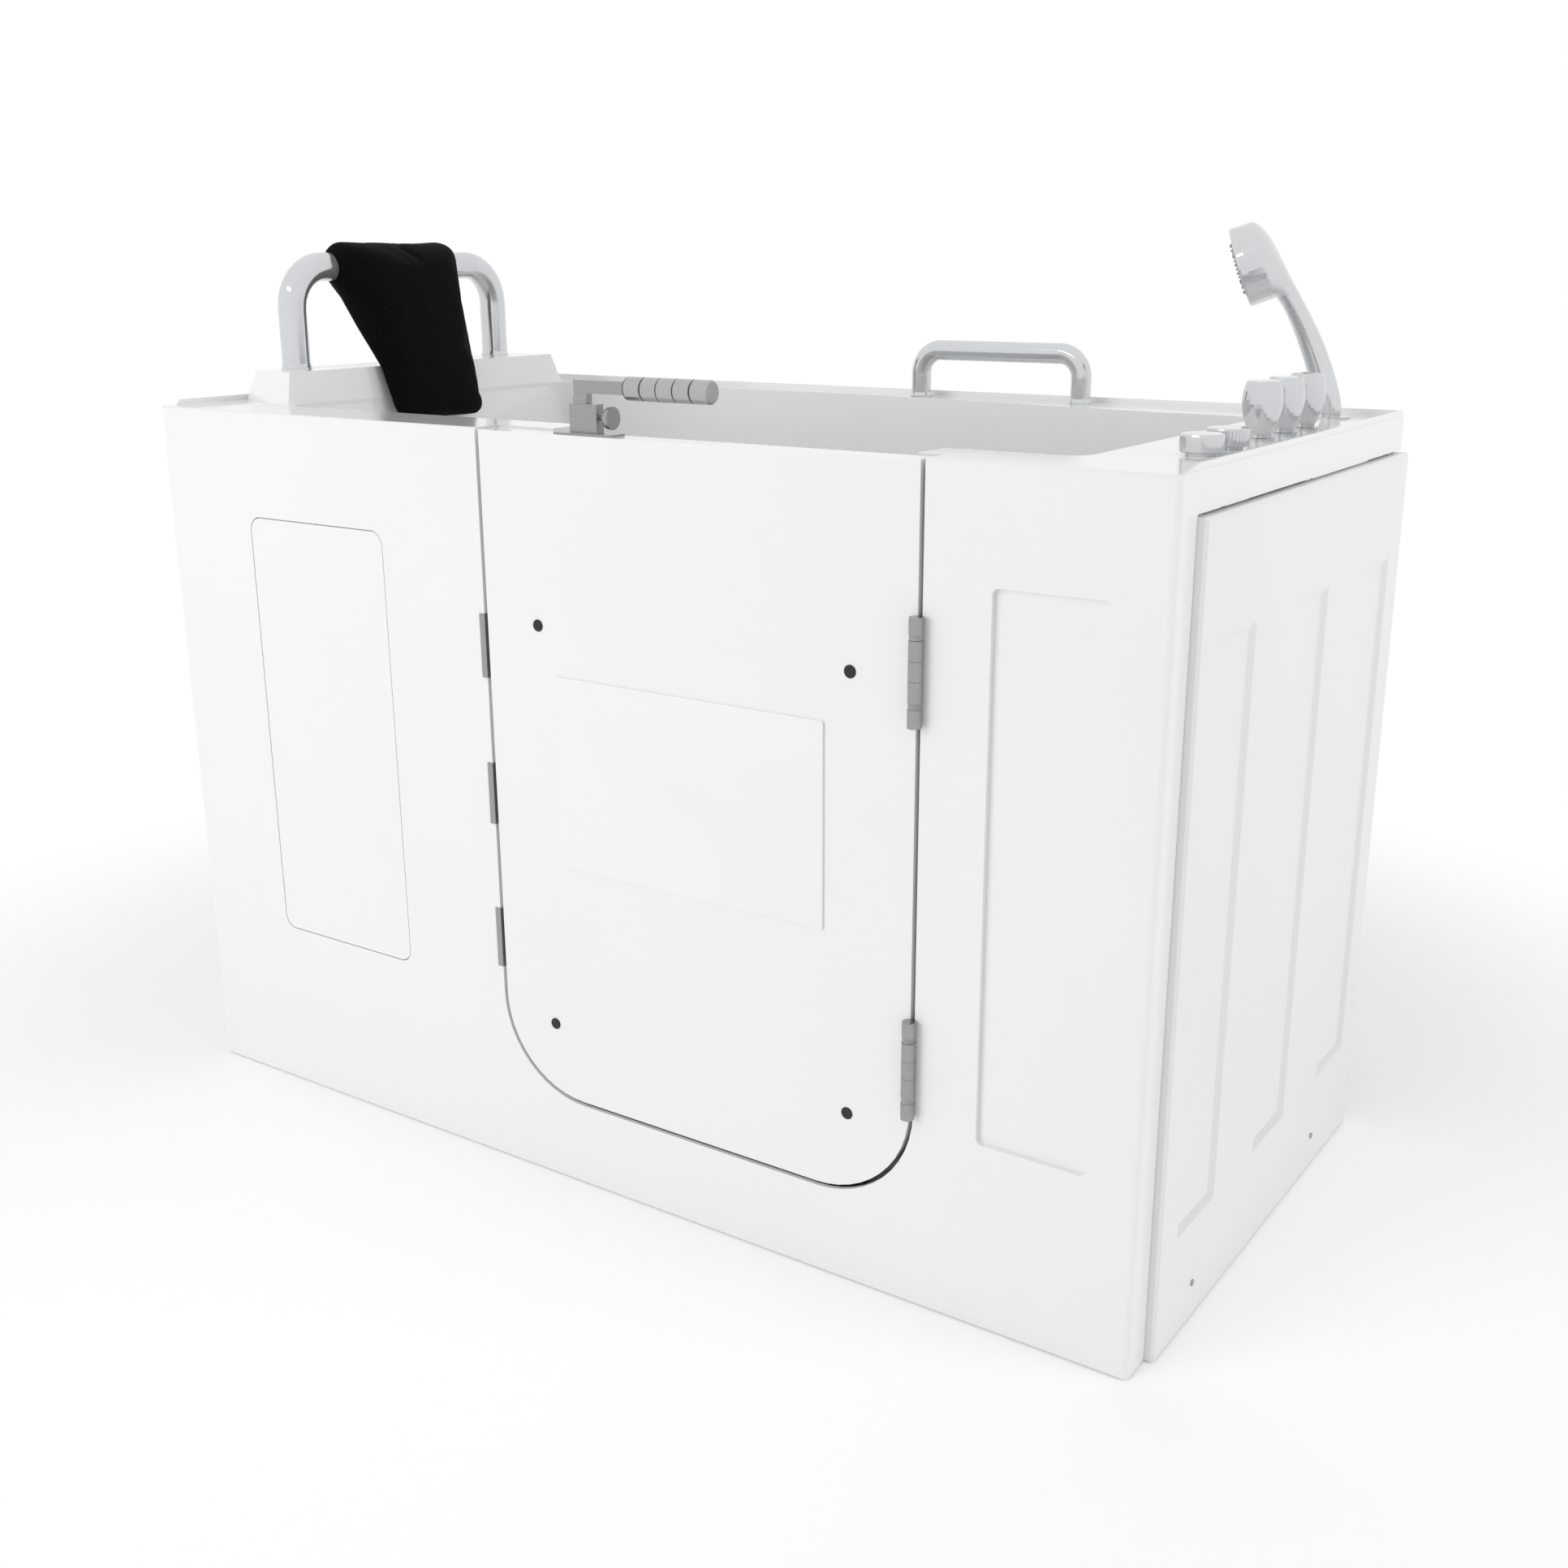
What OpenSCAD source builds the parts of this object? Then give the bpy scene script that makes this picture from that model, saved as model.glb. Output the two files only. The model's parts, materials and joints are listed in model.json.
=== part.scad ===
// Walk-in bathtub: a seat at the left, a footwell behind an outward door, a deck of controls at the right.
// X runs along the tub from the seat end to the control end, Y from the door side to the wall side, Z up.

/* [Tub] */
// Length of the moulded shell
tub_l = 1502; // [1460:1:1700]
// Width from the front face to the wall side
tub_w = 736; // [700:1:860]
// Height of the rim above the floor
rim_h = 986; // [900:1:1060]
// Thickness of the moulded shell
skin_t = 6; // [4:0.5:8]
// Gap between the skirt and the floor
floor_gap = 2; // [1:0.5:10]
// Radius of the upright front corners
corner_r = 7; // [2:0.5:12]
// Radius along the top front edge
edge_r = 4; // [1:0.5:6]
// Height of the band that hangs below the rim at the ends and back
band_h = 42; // [30:1:60]
// Width of the front skirt's return round each end
return_w = 46; // [34:1:60]

/* [Tile flange] */
// Height of the upstand along the walls
flange_h = 7; // [4:0.5:14]
// Thickness of the upstand
flange_t = 3; // [2:0.5:5]
// Setback of the upstand from the outer faces
flange_set = 1.5; // [0.5:0.25:4]
// Distance from the front face to the start of the upstand
flange_start = 24; // [10:1:60]
// Length of the upstand's ramp at the control end
flange_ramp = 45; // [10:1:80]

/* [Well] */
// Distance from the left end to the well at rim level
well_left = 150; // [130:1:190]
// Width of the control deck at the right end
control_deck_w = 144; // [135:1:180]
// Width of the front wall at the rim
front_deck_w = 98; // [90:1:120]
// Width of the back rim beside the seat
back_deck_seat_w = 52; // [46:1:66]
// Width of the back rim beside the footwell
back_deck_foot_w = 108; // [80:1:130]
// Height of the seat
seat_h = 486; // [400:1:520]
// Distance from the left end to the seat's front edge
seat_front = 640; // [600:1:670]
// How far the backrest's foot stands forward of its top
back_lean = 100; // [40:1:120]
// How far the seat's front face leans
knee_lean = 12; // [0:1:30]
// How far the footwell's end wall leans
end_lean = 22; // [0:1:40]
// Height of the footwell floor
footwell_h = 97; // [95:1:120]
// Radius of the well's upright corners
well_r = 26; // [10:1:45]
// Radius between the backrest and the seat
backrest_r = 95; // [40:1:120]
// Radius of the seat's front edge
nose_r = 26; // [10:1:40]
// Radius along the footwell floor
foot_r = 45; // [20:1:70]

/* [Raised end] */
// Height of the raised end above the rim
raised_h = 44; // [25:1:70]
// Width of its top
raised_top_w = 80; // [70:1:90]
// Slope of the two ends, measured on the level
raised_end_slope = 14; // [4:1:30]
// Distance from the front face to its front foot
raised_front = 100; // [98:1:120]
// Distance from the back face to its back foot
raised_back = 62; // [20:1:70]
// How far its outer corners are cut back along the tub's width
raised_cut = 50; // [20:1:80]
// Distance from the outer face to its outer foot
raised_out = 5; // [4.5:0.5:20]

/* [Door] */
// Distance from the left end to the door's latch edge
door_left = 605; // [580:1:612]
// Width of the door leaf
door_w = 616.5; // [560:0.5:640]
// Height of the door leaf's bottom edge
door_bottom = 120; // [100:1:140]
// Drop of the door's top edge below the rim
door_drop = 2; // [1:0.5:6]
// Thickness of the door leaf
door_t = 36; // [32:1:42]
// Gap round the door leaf
seam = 5.5; // [4:0.5:8]
// Radius of the door's lower corners
door_r = 127; // [60:1:160]
// Thickness of the door's skins
door_skin = 4; // [3:0.5:5]
// Thickness of the rubber seal
seal_t = 4.7; // [3:0.1:7]
// Width of the rubber seal
seal_w = 16; // [8:1:22]
// Distance from the door's latch edge to the clear opening
jamb_latch = 85; // [75:1:100]
// Distance from the door's hinge edge to the clear opening
jamb_hinge = 27; // [26:1:50]
// Height of the sill
sill_h = 150; // [145:1:190]
// Radius of the clear opening's lower corners
sill_r = 100; // [60:1:110]
// Thickness of the jamb's walls
jamb_t = 5; // [3:0.5:7]
// Distance from the clear opening to the seal
seal_in = 4; // [2:0.5:5]

/* [Door plate and caps] */
// Width of the raised bare plate
plate_w = 394; // [200:1:420]
// Height of the raised bare plate
plate_h = 247; // [120:1:300]
// Thickness of the raised bare plate
plate_t = 3; // [1:0.5:6]
// Distance from the latch edge to the plate
plate_in = 106; // [60:1:150]
// Height of the plate's bottom edge
plate_z = 445; // [300:1:520]
// Diameter of the screw caps
cap_d = 15; // [8:0.5:22]
// Thickness of the screw caps
cap_t = 1.6; // [1:0.1:3]
// Distance from the latch edge to the first column of caps
cap_in = 83.5; // [50:0.5:110]
// Distance between the two columns of caps
cap_span_w = 449.8; // [300:0.1:460]
// Height of the lower caps
cap_z = 222; // [180:1:260]
// Distance between the lower and the upper caps
cap_span_h = 530; // [400:1:600]

/* [Hinges] */
// Diameter of the hinge barrel
barrel_d = 16; // [13:0.5:20]
// Length of the hinge barrel
barrel_l = 120; // [90:1:150]
// Height of the upper hinge's middle
hinge_top_z = 763; // [700:1:840]
// Height of the lower hinge's middle
hinge_low_z = 303.5; // [290:0.5:380]
// Diameter of the hinge pin
pin_d = 8; // [6:0.5:10]
// Thickness of the hinge leaves
leaf_t = 1.8; // [1.2:0.1:2]
// Depth of the hinge leaves into the seam
leaf_depth = 28; // [16:1:30]

/* [Strikes] */
// Height of each strike plate
strike_h = 82; // [40:1:100]
// Width of a strike plate's front flange
strike_w = 7.5; // [5:0.5:14]
// Thickness of a strike plate
strike_t = 1.5; // [1:0.1:2]
// Heights of the three strikes
strike_zs = [323.5, 522, 716];
// Diameter of a bolt
bolt_d = 12; // [8:0.5:14]

/* [Latch] */
// Distance from the door's latch edge to the lever's axis
lever_in = 153; // [140:1:200]
// Distance from the front face to the lever's axis
lever_y = 18; // [16:0.5:20]
// Length of the base plate
base_l = 90; // [70:1:110]
// Distance from the plate's left side to the lever's axis
base_in = 38; // [30:1:44]
// Width of the base plate
base_w = 29; // [24:1:31]
// Thickness of the base plate
base_t = 2.7; // [2:0.1:5]
// Length of the latch block
block_l = 41; // [36:1:50]
// Width of the latch block
block_w = 13; // [12.5:0.5:16]
// Height of the latch block
block_h = 33; // [31:1:40]
// Distance from the block's left side to the lever's axis
block_in = 16; // [12:1:20]
// Diameter of the lever's spindle
spindle_d = 9; // [7:0.5:9.5]
// Length of the neck
neck_l = 20; // [18:1:40]
// Distance from the neck's back to the axis
neck_back = 10; // [6:0.5:14]
// Thickness of the lever's stock
arm_t = 9; // [6:0.5:10]
// Height of the neck
neck_h = 12; // [8:1:20]
// Height of the arm
arm_h = 15; // [10:1:20]
// Distance from the axis to the grip
grip_in = 68.5; // [40:0.5:80]
// Length of the grip
grip_l = 119; // [100:1:150]
// Diameter of the grip
grip_d = 27; // [20:0.5:32]
// Radius of the crank pin's circle
crank_r = 8; // [7.5:0.1:8]
// Diameter of the crank pin
crank_pin_d = 4; // [3:0.5:5]
// Thickness of the crank and of the tie bar's arm
crank_t = 6; // [4:0.5:8]
// Distance from the door's latch edge to the tie bar
tie_in = 50; // [46:1:60]
// Width of the tie bar
tie_w = 12; // [8:1:16]
// Thickness of the tie bar
tie_t = 6; // [4:0.5:8]
// Length of a bolt guide
guide_l = 24; // [16:1:28]
// Height of a bolt guide
guide_h = 26; // [20:1:40]

/* [Release knob] */
// Diameter of the knob's head
knob_d = 26.5; // [20:0.5:31]
// Diameter of the knob's stem
knob_stem_d = 5; // [3:0.5:5]
// Distance from the block to the head's flat face
knob_out = 20; // [18:1:30]
// Thickness of the knob's head
knob_t = 12; // [8:0.5:14]
// Height of the knob's stem above the base plate
knob_z = 18; // [16:0.5:18]

/* [Front panels] */
// Distance from the left end to the access panel
access_in = 170.7; // [120:0.1:200]
// Width of the access panel
access_w = 253.3; // [150:0.1:300]
// Height of the access panel's bottom edge
access_z = 247.5; // [200:0.5:300]
// Height of the access panel
access_h = 596.5; // [400:0.5:620]
// Radius of the access panel's corners
access_r = 18; // [8:1:40]
// Groove round the access panel
access_gap = 1.3; // [0.8:0.1:3]
// Distance from the right end to the recessed panel
recess_in = 61.5; // [50:0.5:80]
// Width of the recessed panel
recess_w = 133; // [100:1:140]
// Height of the recessed panel's bottom edge
recess_z = 232.5; // [180:0.5:300]
// Height of the recessed panel
recess_h = 627.5; // [400:0.5:640]
// Depth of the recessed panel
recess_d = 7; // [3:0.5:12]
// Radius of the recessed panel's corners
recess_r = 7.5; // [2:0.5:20]
// Width of the ledge behind the access panel
ledge_w = 12; // [6:1:20]
// Thickness of that ledge
ledge_t = 4; // [2:0.5:8]

/* [End panels] */
// Thickness of an end panel
end_t = 10.9; // [8.5:0.1:16]
// Chamfer round an end panel
end_chamfer = 3.5; // [1:0.5:5]
// Width of each of the three recesses
shaker_w = 110; // [60:1:140]
// Height of each recess's bottom edge
shaker_z = 133; // [100:1:200]
// Height of the recesses
shaker_h = 681; // [400:1:700]
// Depth of the recesses
shaker_d = 5; // [2:0.5:7]
// Width of the bevel round each recess
shaker_bevel = 9; // [4:1:14]
// Distance from an end panel's edge to the nearest recess
shaker_edge = 50; // [30:1:90]
// Height of the panel screws
screw_z = 47; // [42:1:50]
// Diameter of a panel screw's head
screw_d = 8; // [6:0.5:12]
// Distance from the panel's front edge to the first screw
screw_in = 108; // [90:1:160]
// Distance from the panel's back edge to the second screw
screw_back = 159; // [120:1:200]
// Diameter of a panel screw's shank
shank_screw_d = 4; // [3:0.5:5]
// Thickness of a panel screw's head
screw_t = 1.4; // [0.8:0.1:2]
// Gap between an end panel and the rim above it
end_gap = 3; // [1:0.5:6]
// Height of the solid foot of an end panel
end_foot_h = 70; // [66:1:90]
// Width of an end panel's edge rim
end_rim_w = 25; // [15:1:40]

/* [Seat-end bar] */
// Diameter of the bar
seat_bar_d = 40; // [32:1:41]
// Distance from each end of the raised part to the bar's leg
seat_bar_end = 80.5; // [76:0.5:100]
// Height of its top above the raised end
seat_bar_h = 160.5; // [140:0.5:200]
// Radius of its bends, on the middle line
seat_bar_bend = 60; // [45:1:80]
// Distance from the left end to the bar
seat_bar_x = 80; // [80:1:92]
// Diameter of its feet
seat_bar_foot_d = 43; // [42.5:0.5:44]

/* [Rear grab bar] */
// Diameter of the bar
rear_bar_d = 28; // [22:1:32]
// Distance between its legs
rear_bar_span = 252; // [200:1:400]
// Height of its top above the rim
rear_bar_h = 80.5; // [65:0.5:120]
// Radius of its bends, on the middle line
rear_bar_bend = 32; // [22:1:40]
// Distance from the left end to its first leg
rear_bar_x = 821.5; // [760:0.5:860]
// Distance from the back face to the bar
rear_bar_in = 39; // [38:1:50]
// Diameter of its feet
rear_bar_foot_d = 32; // [30:0.5:40]
// Height of its feet
bar_foot_h = 7; // [3:0.5:8]
// Wall of both bars
bar_t = 2; // [1.5:0.5:3]
// Diameter of the studs that hold both bars
bar_stud_d = 10; // [8:1:12]
// Length of the plug in the end of each leg
bar_plug_h = 20; // [10:1:30]
// Length of a stud below the rim
bar_stud_l = 24; // [18:1:36]

/* [Pillow] */
// Width of the pillow at the top
pillow_top_w = 240; // [200:1:280]
// Width of the pillow at the bottom
pillow_low_w = 179; // [120:1:190]
// How far the pillow hangs below the raised end's top
pillow_drop = 74; // [60:1:100]
// How far the pillow stands above the bar's middle line
pillow_over = 40.5; // [36:0.5:48]
// How far the pillow's face stands ahead of the bar's middle line at the top
pillow_ahead = 48; // [40:1:54]
// Thickness of the pillow round the bar
pillow_top_t = 80; // [72:1:88]
// Thickness of the pillow at its foot
pillow_low_t = 24; // [16:1:30]
// Gap between the pillow's back and the raised end
pillow_clear = 3.8; // [2:0.1:8]
// How far the pillow hangs off the bar's middle, toward the door
pillow_side = 22; // [0:1:34]
// Radius of the pillow's corners
pillow_r = 22; // [10:1:40]
// How far the middle of the pillow's top dips
pillow_dip = 9; // [0:1:14]
// How far the pillow's middle swells
pillow_crown = 7; // [0:1:10]

/* [Controls] */
// Distance from the right end to the row of controls
control_in = 49; // [44:1:60]
// Distance from the front face to the first control
control_y = 173; // [165:1:200]
// Extra distance between the last handle and the hand shower
shower_clear = 96; // [60:1:110]
// Extra distance between the low knobs and the handles
control_break = 25; // [0:1:30]
// Largest diameter of a handle
handle_d = 43.5; // [34:0.5:50]
// Diameter of a handle's top
handle_top_d = 38; // [26:0.5:40]
// Diameter of a handle's foot
handle_low_d = 27; // [22:1:28]
// Height of a handle
handle_h = 61.5; // [40:0.5:70]
// Diameter of a low knob
low_knob_d = 46; // [36:1:54]
// Height of a low knob
low_knob_h = 19; // [12:1:26]
// Diameter of the base discs
disc_d = 33; // [29:1:40]
// Height of the base discs
disc_h = 3; // [2:0.5:5]
// Diameter of the control stems
stem_d = 12; // [8:0.5:13]
// Height of a handle's neck
neck_low_h = 5; // [2:0.5:8]
// Diameter of the valve bodies
valve_d = 30; // [26:1:34]
// Length of the valve bodies
valve_l = 50; // [40:1:70]
// Diameter of the supply pipes
supply_d = 15; // [12:1:18]
// Bend radius of the supply pipes
supply_r = 30; // [24:1:40]
// Height of the hot supply's run to the wall
hot_z = 180; // [150:1:220]
// Height of the cold supply's run to the wall
cold_z = 262; // [240:1:300]
// Diameter of the ribs on the rear knob
rib_d = 1.6; // [1:0.1:2.2]

/* [Hand shower] */
// Distance from the right end to the shower's foot
shower_in = 71; // [64:1:76]
// Distance from the back face to the shower
shower_back = 72; // [60:1:90]
// Diameter of the spray face
spray_d = 98; // [84:1:104]
// Depth of the head behind the face ring
head_depth = 18; // [14:1:24]
// Thickness of the face ring
ring_t = 10; // [6:0.5:14]
// Tilt of the spray face below the level
spray_tilt = 19.8; // [0:0.1:40]
// How far the back of the shower draws in below its head
shower_waist = 6; // [0:0.5:8]
// Turn of the shower about its foot, toward the door
spray_turn = 18; // [0:1:30]
// Diameter of the handle's foot
shower_foot_d = 24; // [20:0.5:26]
// Height of the spray face's middle above the rim
head_h = 180; // [165:1:195]
// How far the spray face's middle hangs over the well from the foot
head_reach = 123; // [110:1:140]
// Diameter of the shower's peg
peg_d = 13; // [10:0.5:14]
// Length of the shower's peg
peg_l = 30; // [20:1:40]
// Diameter of the holder's flange
holder_d = 48; // [38:1:54]
// Thickness of the holder's flange
holder_t = 2; // [2:0.5:5]
// Height of the holder's collar
collar_h = 3; // [3:0.5:8]
// Diameter of the spray's nozzle disc
nozzle_d = 78; // [60:1:82]
// How far the nozzle disc stands out
nozzle_t = 3; // [1:0.5:5]

/* [Drains] */
// Distance from the right end to the drains
drain_in = 250; // [248:1:300]
// Distance from the front face to the first drain
drain_y = 232; // [200:1:260]
// Distance from the back face to the second drain
drain_back = 244; // [220:1:290]
// Diameter of a drain's flange
drain_flange_d = 74; // [62:1:90]
// Diameter of a drain's throat
drain_throat_d = 44; // [34:1:50]
// Thickness of a drain's flange
drain_t = 3; // [2:0.5:5]
// Thickness of a stopper
stopper_t = 4; // [3:0.5:8]
// Diameter of a stopper's stem
stopper_stem_d = 8; // [6:0.5:10]
// Height of the underside of the drains
drain_low_z = 56.5; // [50:0.5:57]
// Diameter of the waste pipe
waste_d = 28; // [24:1:29]
// Diameter of the overflow plate
overflow_d = 70; // [50:1:90]
// Height of the overflow
overflow_z = 860; // [800:1:880]
// Diameter of the fill inlet
inlet_d = 58; // [44:1:70]
// Height of the fill inlet
inlet_z = 330; // [310:1:420]
// Thickness of the overflow and inlet plates
cover_t = 4; // [2:0.5:6]
// Diameter of the overflow's and the inlet's neck
neck_d = 34; // [28:1:38]
// Length of that neck behind the well's wall
neck_out = 16; // [10:1:24]
// Diameter of the drain cables
cable_d = 6; // [4:0.5:8]
// Height of the drain cables' lowest run
cable_z = 68; // [64:1:72]

/* [Frame] */
// Width of the frame tubes
tube_w = 25; // [20:1:30]
// Height of the lying tubes
rail_h = 32; // [28:1:32]
// Wall of the frame tubes
tube_t = 2; // [1.5:0.5:3]
// Height of the frame above the floor
frame_z = 24; // [22:1:26]
// Diameter of a foot pad
foot_d = 44; // [30:1:50]
// Thickness of a foot pad
foot_t = 8; // [5:0.5:10]
// Diameter of a foot's stud
foot_stud_d = 12; // [8:1:14]
// Width across the corners of a lock nut
foot_nut_d = 22; // [18:1:26]
// Thickness of a lock nut
foot_nut_t = 8; // [5:0.5:9]
// Height of the upper frame tubes
top_rail_z = 870; // [780:1:890]
// Width of a floor bearer
bearer_w = 40; // [20:1:60]

/* [Hidden] */

// Overrun of the cuts
cut = 1;
// Play between faces of pieces that move past each other
gap = 0.3;
// Radial play of a running fit
fit = 0.05;
// Number of flats in each rounded corner of an outline
corner_steps = 12;
$fn = 64;

// Places that follow from the sizes above
well_right = tub_l - control_deck_w;
well_front = front_deck_w;
deck_z = rim_h - skin_t;
raised_inner_slope = raised_h * back_lean / (deck_z - seat_h);
raised_z = rim_h + raised_h;
door_right = door_left + door_w;
door_top = rim_h - door_drop;
seal_face_y = door_t + seal_t + gap;
open_left = door_left + jamb_latch;
open_right = door_right - jamb_hinge;
hinge_x = door_right + seam / 2;
hinge_y = -barrel_d / 2 - gap;
y_mid = (tub_w + hinge_y - barrel_d / 2) / 2;
lever_x = door_left + lever_in;
base_z = door_top + base_t;
block_z = base_z + block_h;
arm_z = block_z + neck_h;
bolt_travel = crank_r * sqrt(2);
screw_ys = [return_w + screw_in, tub_w - screw_back];
control_x = tub_l - control_in;
control_pitch = (tub_w - shower_back - shower_clear - control_y - control_break) / 5;
knob_ys = [control_y, control_y + control_pitch];
handle_ys = [for (k = [0 : 2]) control_y + control_break + (2 + k) * control_pitch];
shower_x = tub_l - shower_in;
shower_y = tub_w - shower_back;
drain_x = tub_l - drain_in;
drain_ys = [drain_y, tub_w - drain_back];
rail_top = frame_z + rail_h;
rail_ys = [return_w + end_chamfer, tub_w - skin_t - tube_w - end_chamfer];
cross_xs = [
    skin_t, tub_l / 5, seat_front - 2 * tube_w - jamb_hinge, (seat_front + drain_x) / 2,
    drain_x - drain_flange_d - tube_w, tub_l - skin_t - tube_w
];
foot_xs = [for (k = [0 : 3]) skin_t + foot_d + k * (tub_l - 2 * skin_t - 2 * foot_d) / 3];
bolt_y = door_t / 2;
tip_x = door_left + gap;
crank_z = door_top - door_skin - 2 * crank_t;
seat_bar_y = (raised_front + tub_w - raised_back) / 2;
seat_bar_ys = [raised_front + seat_bar_end, tub_w - raised_back - seat_bar_end];
seat_bar_z = raised_z + seat_bar_h - seat_bar_d / 2;
rear_bar_xs = [rear_bar_x, rear_bar_x + rear_bar_span];
rear_bar_y = tub_w - rear_bar_in;
rear_bar_z = rim_h + rear_bar_h - rear_bar_d / 2;
control_z = rim_h + disc_h;
shank_d = disc_d - 2 * disc_h - gap;
end_lean_angle = atan(end_lean / (deck_z - footwell_h));
overflow_x = well_right + skin_t + neck_out + waste_d / 2;
overflow_y = (drain_ys[0] + drain_ys[1]) / 2;
throat_d = drain_throat_d + 2 * drain_t;
waste_z = footwell_h - skin_t - drain_t - waste_d / 2 - gap;

function unit(v) = v / norm(v);

// Points of one corner at q, rounded to radius r between its neighbours p and s
function corner(p, q, s, r) =
    r <= 0 ? [q] :
    let (
        a = unit(p - q),
        b = unit(s - q),
        half = acos(a * b) / 2,
        centre = q + unit(a + b) * r / sin(half),
        from = q + a * r / tan(half) - centre,
        to = q + b * r / tan(half) - centre,
        turn = 180 - 2 * half
    )
    [for (k = [0 : corner_steps])
        let (m = k / corner_steps)
        centre + (from * sin((1 - m) * turn) + to * sin(m * turn)) / sin(turn)];

function flat(p) = [p[0], p[1]];

// Outline with rounded corners from a list of [x, y, radius]
function rounded(pts) =
    let (n = len(pts))
    [for (i = [0 : n - 1])
        each corner(flat(pts[(i + n - 1) % n]), flat(pts[i]), flat(pts[(i + 1) % n]), pts[i][2])];

// The same list moved out by d, for points that run counter-clockwise
function grown(pts, d) =
    let (n = len(pts))
    [for (i = [0 : n - 1])
        let (
            q = flat(pts[i]),
            e1 = unit(q - flat(pts[(i + n - 1) % n])),
            e2 = unit(flat(pts[(i + 1) % n]) - q),
            n1 = [e1[1], -e1[0]],
            n2 = [e2[1], -e2[0]],
            v = q + d * (n1 + n2) / (1 + n1 * n2),
            convex = e1[0] * e2[1] - e1[1] * e2[0] > 0
        )
        [v[0], v[1], pts[i][2] == 0 ? 0 : max(0, pts[i][2] + (convex ? d : -d))]];

function box_outline(x0, x1, z0, z1, r) = [[x0, z0, r], [x1, z0, r], [x1, z1, r], [x0, z1, r]];

// The part's origin lies under the middle of the whole tub
module placed() {
    translate([-tub_l / 2, -y_mid, 0]) children();
}

module box(x0, x1, y0, y1, z0, z1) {
    translate([x0, y0, z0]) cube([x1 - x0, y1 - y0, z1 - z0]);
}

// Outline in X and Z, standing from y0 to y1
module upright(pts, y0, y1) {
    translate([0, y1, 0]) rotate([90, 0, 0]) linear_extrude(y1 - y0) polygon(rounded(pts));
}

// Outline in Y and Z, from x0 to x1
module sideways(pts, x0, x1) {
    translate([x0, 0, 0]) rotate([90, 0, 90]) linear_extrude(x1 - x0) polygon(rounded(pts));
}

// Outline in X and Y, from z0 to z1
module level(pts, z0, z1) {
    translate([0, 0, z0]) linear_extrude(z1 - z0) polygon(rounded(pts));
}

module rod_x(d, x0, x1, y, z) {
    translate([x0, y, z]) rotate([0, 90, 0]) cylinder(d = d, h = x1 - x0);
}

module rod_y(d, x, y0, y1, z) {
    translate([x, y1, z]) rotate([90, 0, 0]) cylinder(d = d, h = y1 - y0);
}

module rod_z(d, x, y, z0, z1) {
    translate([x, y, z0]) cylinder(d = d, h = z1 - z0);
}

// Waste left by rounding a square edge that runs along Z at the origin, material on +X and +Y
module edge_waste(r, h) {
    difference() {
        translate([-cut, -cut, 0]) cube([r + cut, r + cut, h]);
        translate([r, r, -cut]) cylinder(r = r, h = h + 2 * cut);
    }
}

module square_tube_x(x0, x1, y, z, w, h) {
    difference() {
        box(x0, x1, y, y + w, z, z + h);
        box(x0 - cut, x1 + cut, y + tube_t, y + w - tube_t, z + tube_t, z + h - tube_t);
    }
}

module square_tube_y(y0, y1, x, z, w, h) {
    difference() {
        box(x, x + w, y0, y1, z, z + h);
        box(x + tube_t, x + w - tube_t, y0 - cut, y1 + cut, z + tube_t, z + h - tube_t);
    }
}

module square_tube_z(z0, z1, x, y) {
    difference() {
        box(x, x + tube_w, y, y + tube_w, z0, z1);
        box(x + tube_t, x + tube_w - tube_t, y + tube_t, y + tube_w - tube_t, z0 - cut, z1 + cut);
    }
}

// Outlines of the well: its side view and its plan
well_side = [
    [well_left, rim_h + raised_h, 0],
    [well_left, deck_z, 0],
    [well_left + back_lean, seat_h, backrest_r],
    [seat_front, seat_h, nose_r],
    [seat_front + knee_lean, footwell_h, foot_r],
    [well_right - end_lean, footwell_h, foot_r],
    [well_right, deck_z, 0],
    [well_right, rim_h + raised_h, 0]
];
neck_start = seat_front + jamb_latch + back_deck_seat_w / 2;
neck_end = well_right - control_deck_w;
well_plan = [
    [well_left, well_front, well_r],
    [well_right, well_front, well_r],
    [well_right, tub_w - back_deck_foot_w, 2 * well_r],
    [neck_end, tub_w - back_deck_foot_w, 4 * well_r],
    [neck_start, tub_w - back_deck_seat_w, 4 * well_r],
    [well_left, tub_w - back_deck_seat_w, 2 * well_r]
];

// Outlines of the door, the seam round it and the clear opening behind it, open at the top
function door_outline(top) = [
    [door_left, door_bottom, door_r],
    [door_right, door_bottom, door_r],
    [door_right, top, 0],
    [door_left, top, 0]
];
function opening_outline(top) = [
    [open_left, sill_h, sill_r],
    [open_right, sill_h, sill_r],
    [open_right, top, 0],
    [open_left, top, 0]
];

function bez(p, t) =
    pow(1 - t, 3) * p[0] + 3 * pow(1 - t, 2) * t * p[1] + 3 * (1 - t) * t * t * p[2] + pow(t, 3) * p[3];

// Solid through a list of closed rings that all hold the same number of points
module loft(rings) {
    n = len(rings[0]);
    m = len(rings);
    polyhedron(
        points = [for (ring = rings) each ring],
        faces = [
            [for (j = [0 : n - 1]) j],
            for (i = [0 : m - 2])
                for (j = [0 : n - 1])
                    each [
                        [i * n + j, (i + 1) * n + j, (i + 1) * n + (j + 1) % n],
                        [i * n + j, (i + 1) * n + (j + 1) % n, i * n + (j + 1) % n]
                    ],
            [for (j = [n - 1 : -1 : 0]) (m - 1) * n + j]
        ]
    );
}

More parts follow.
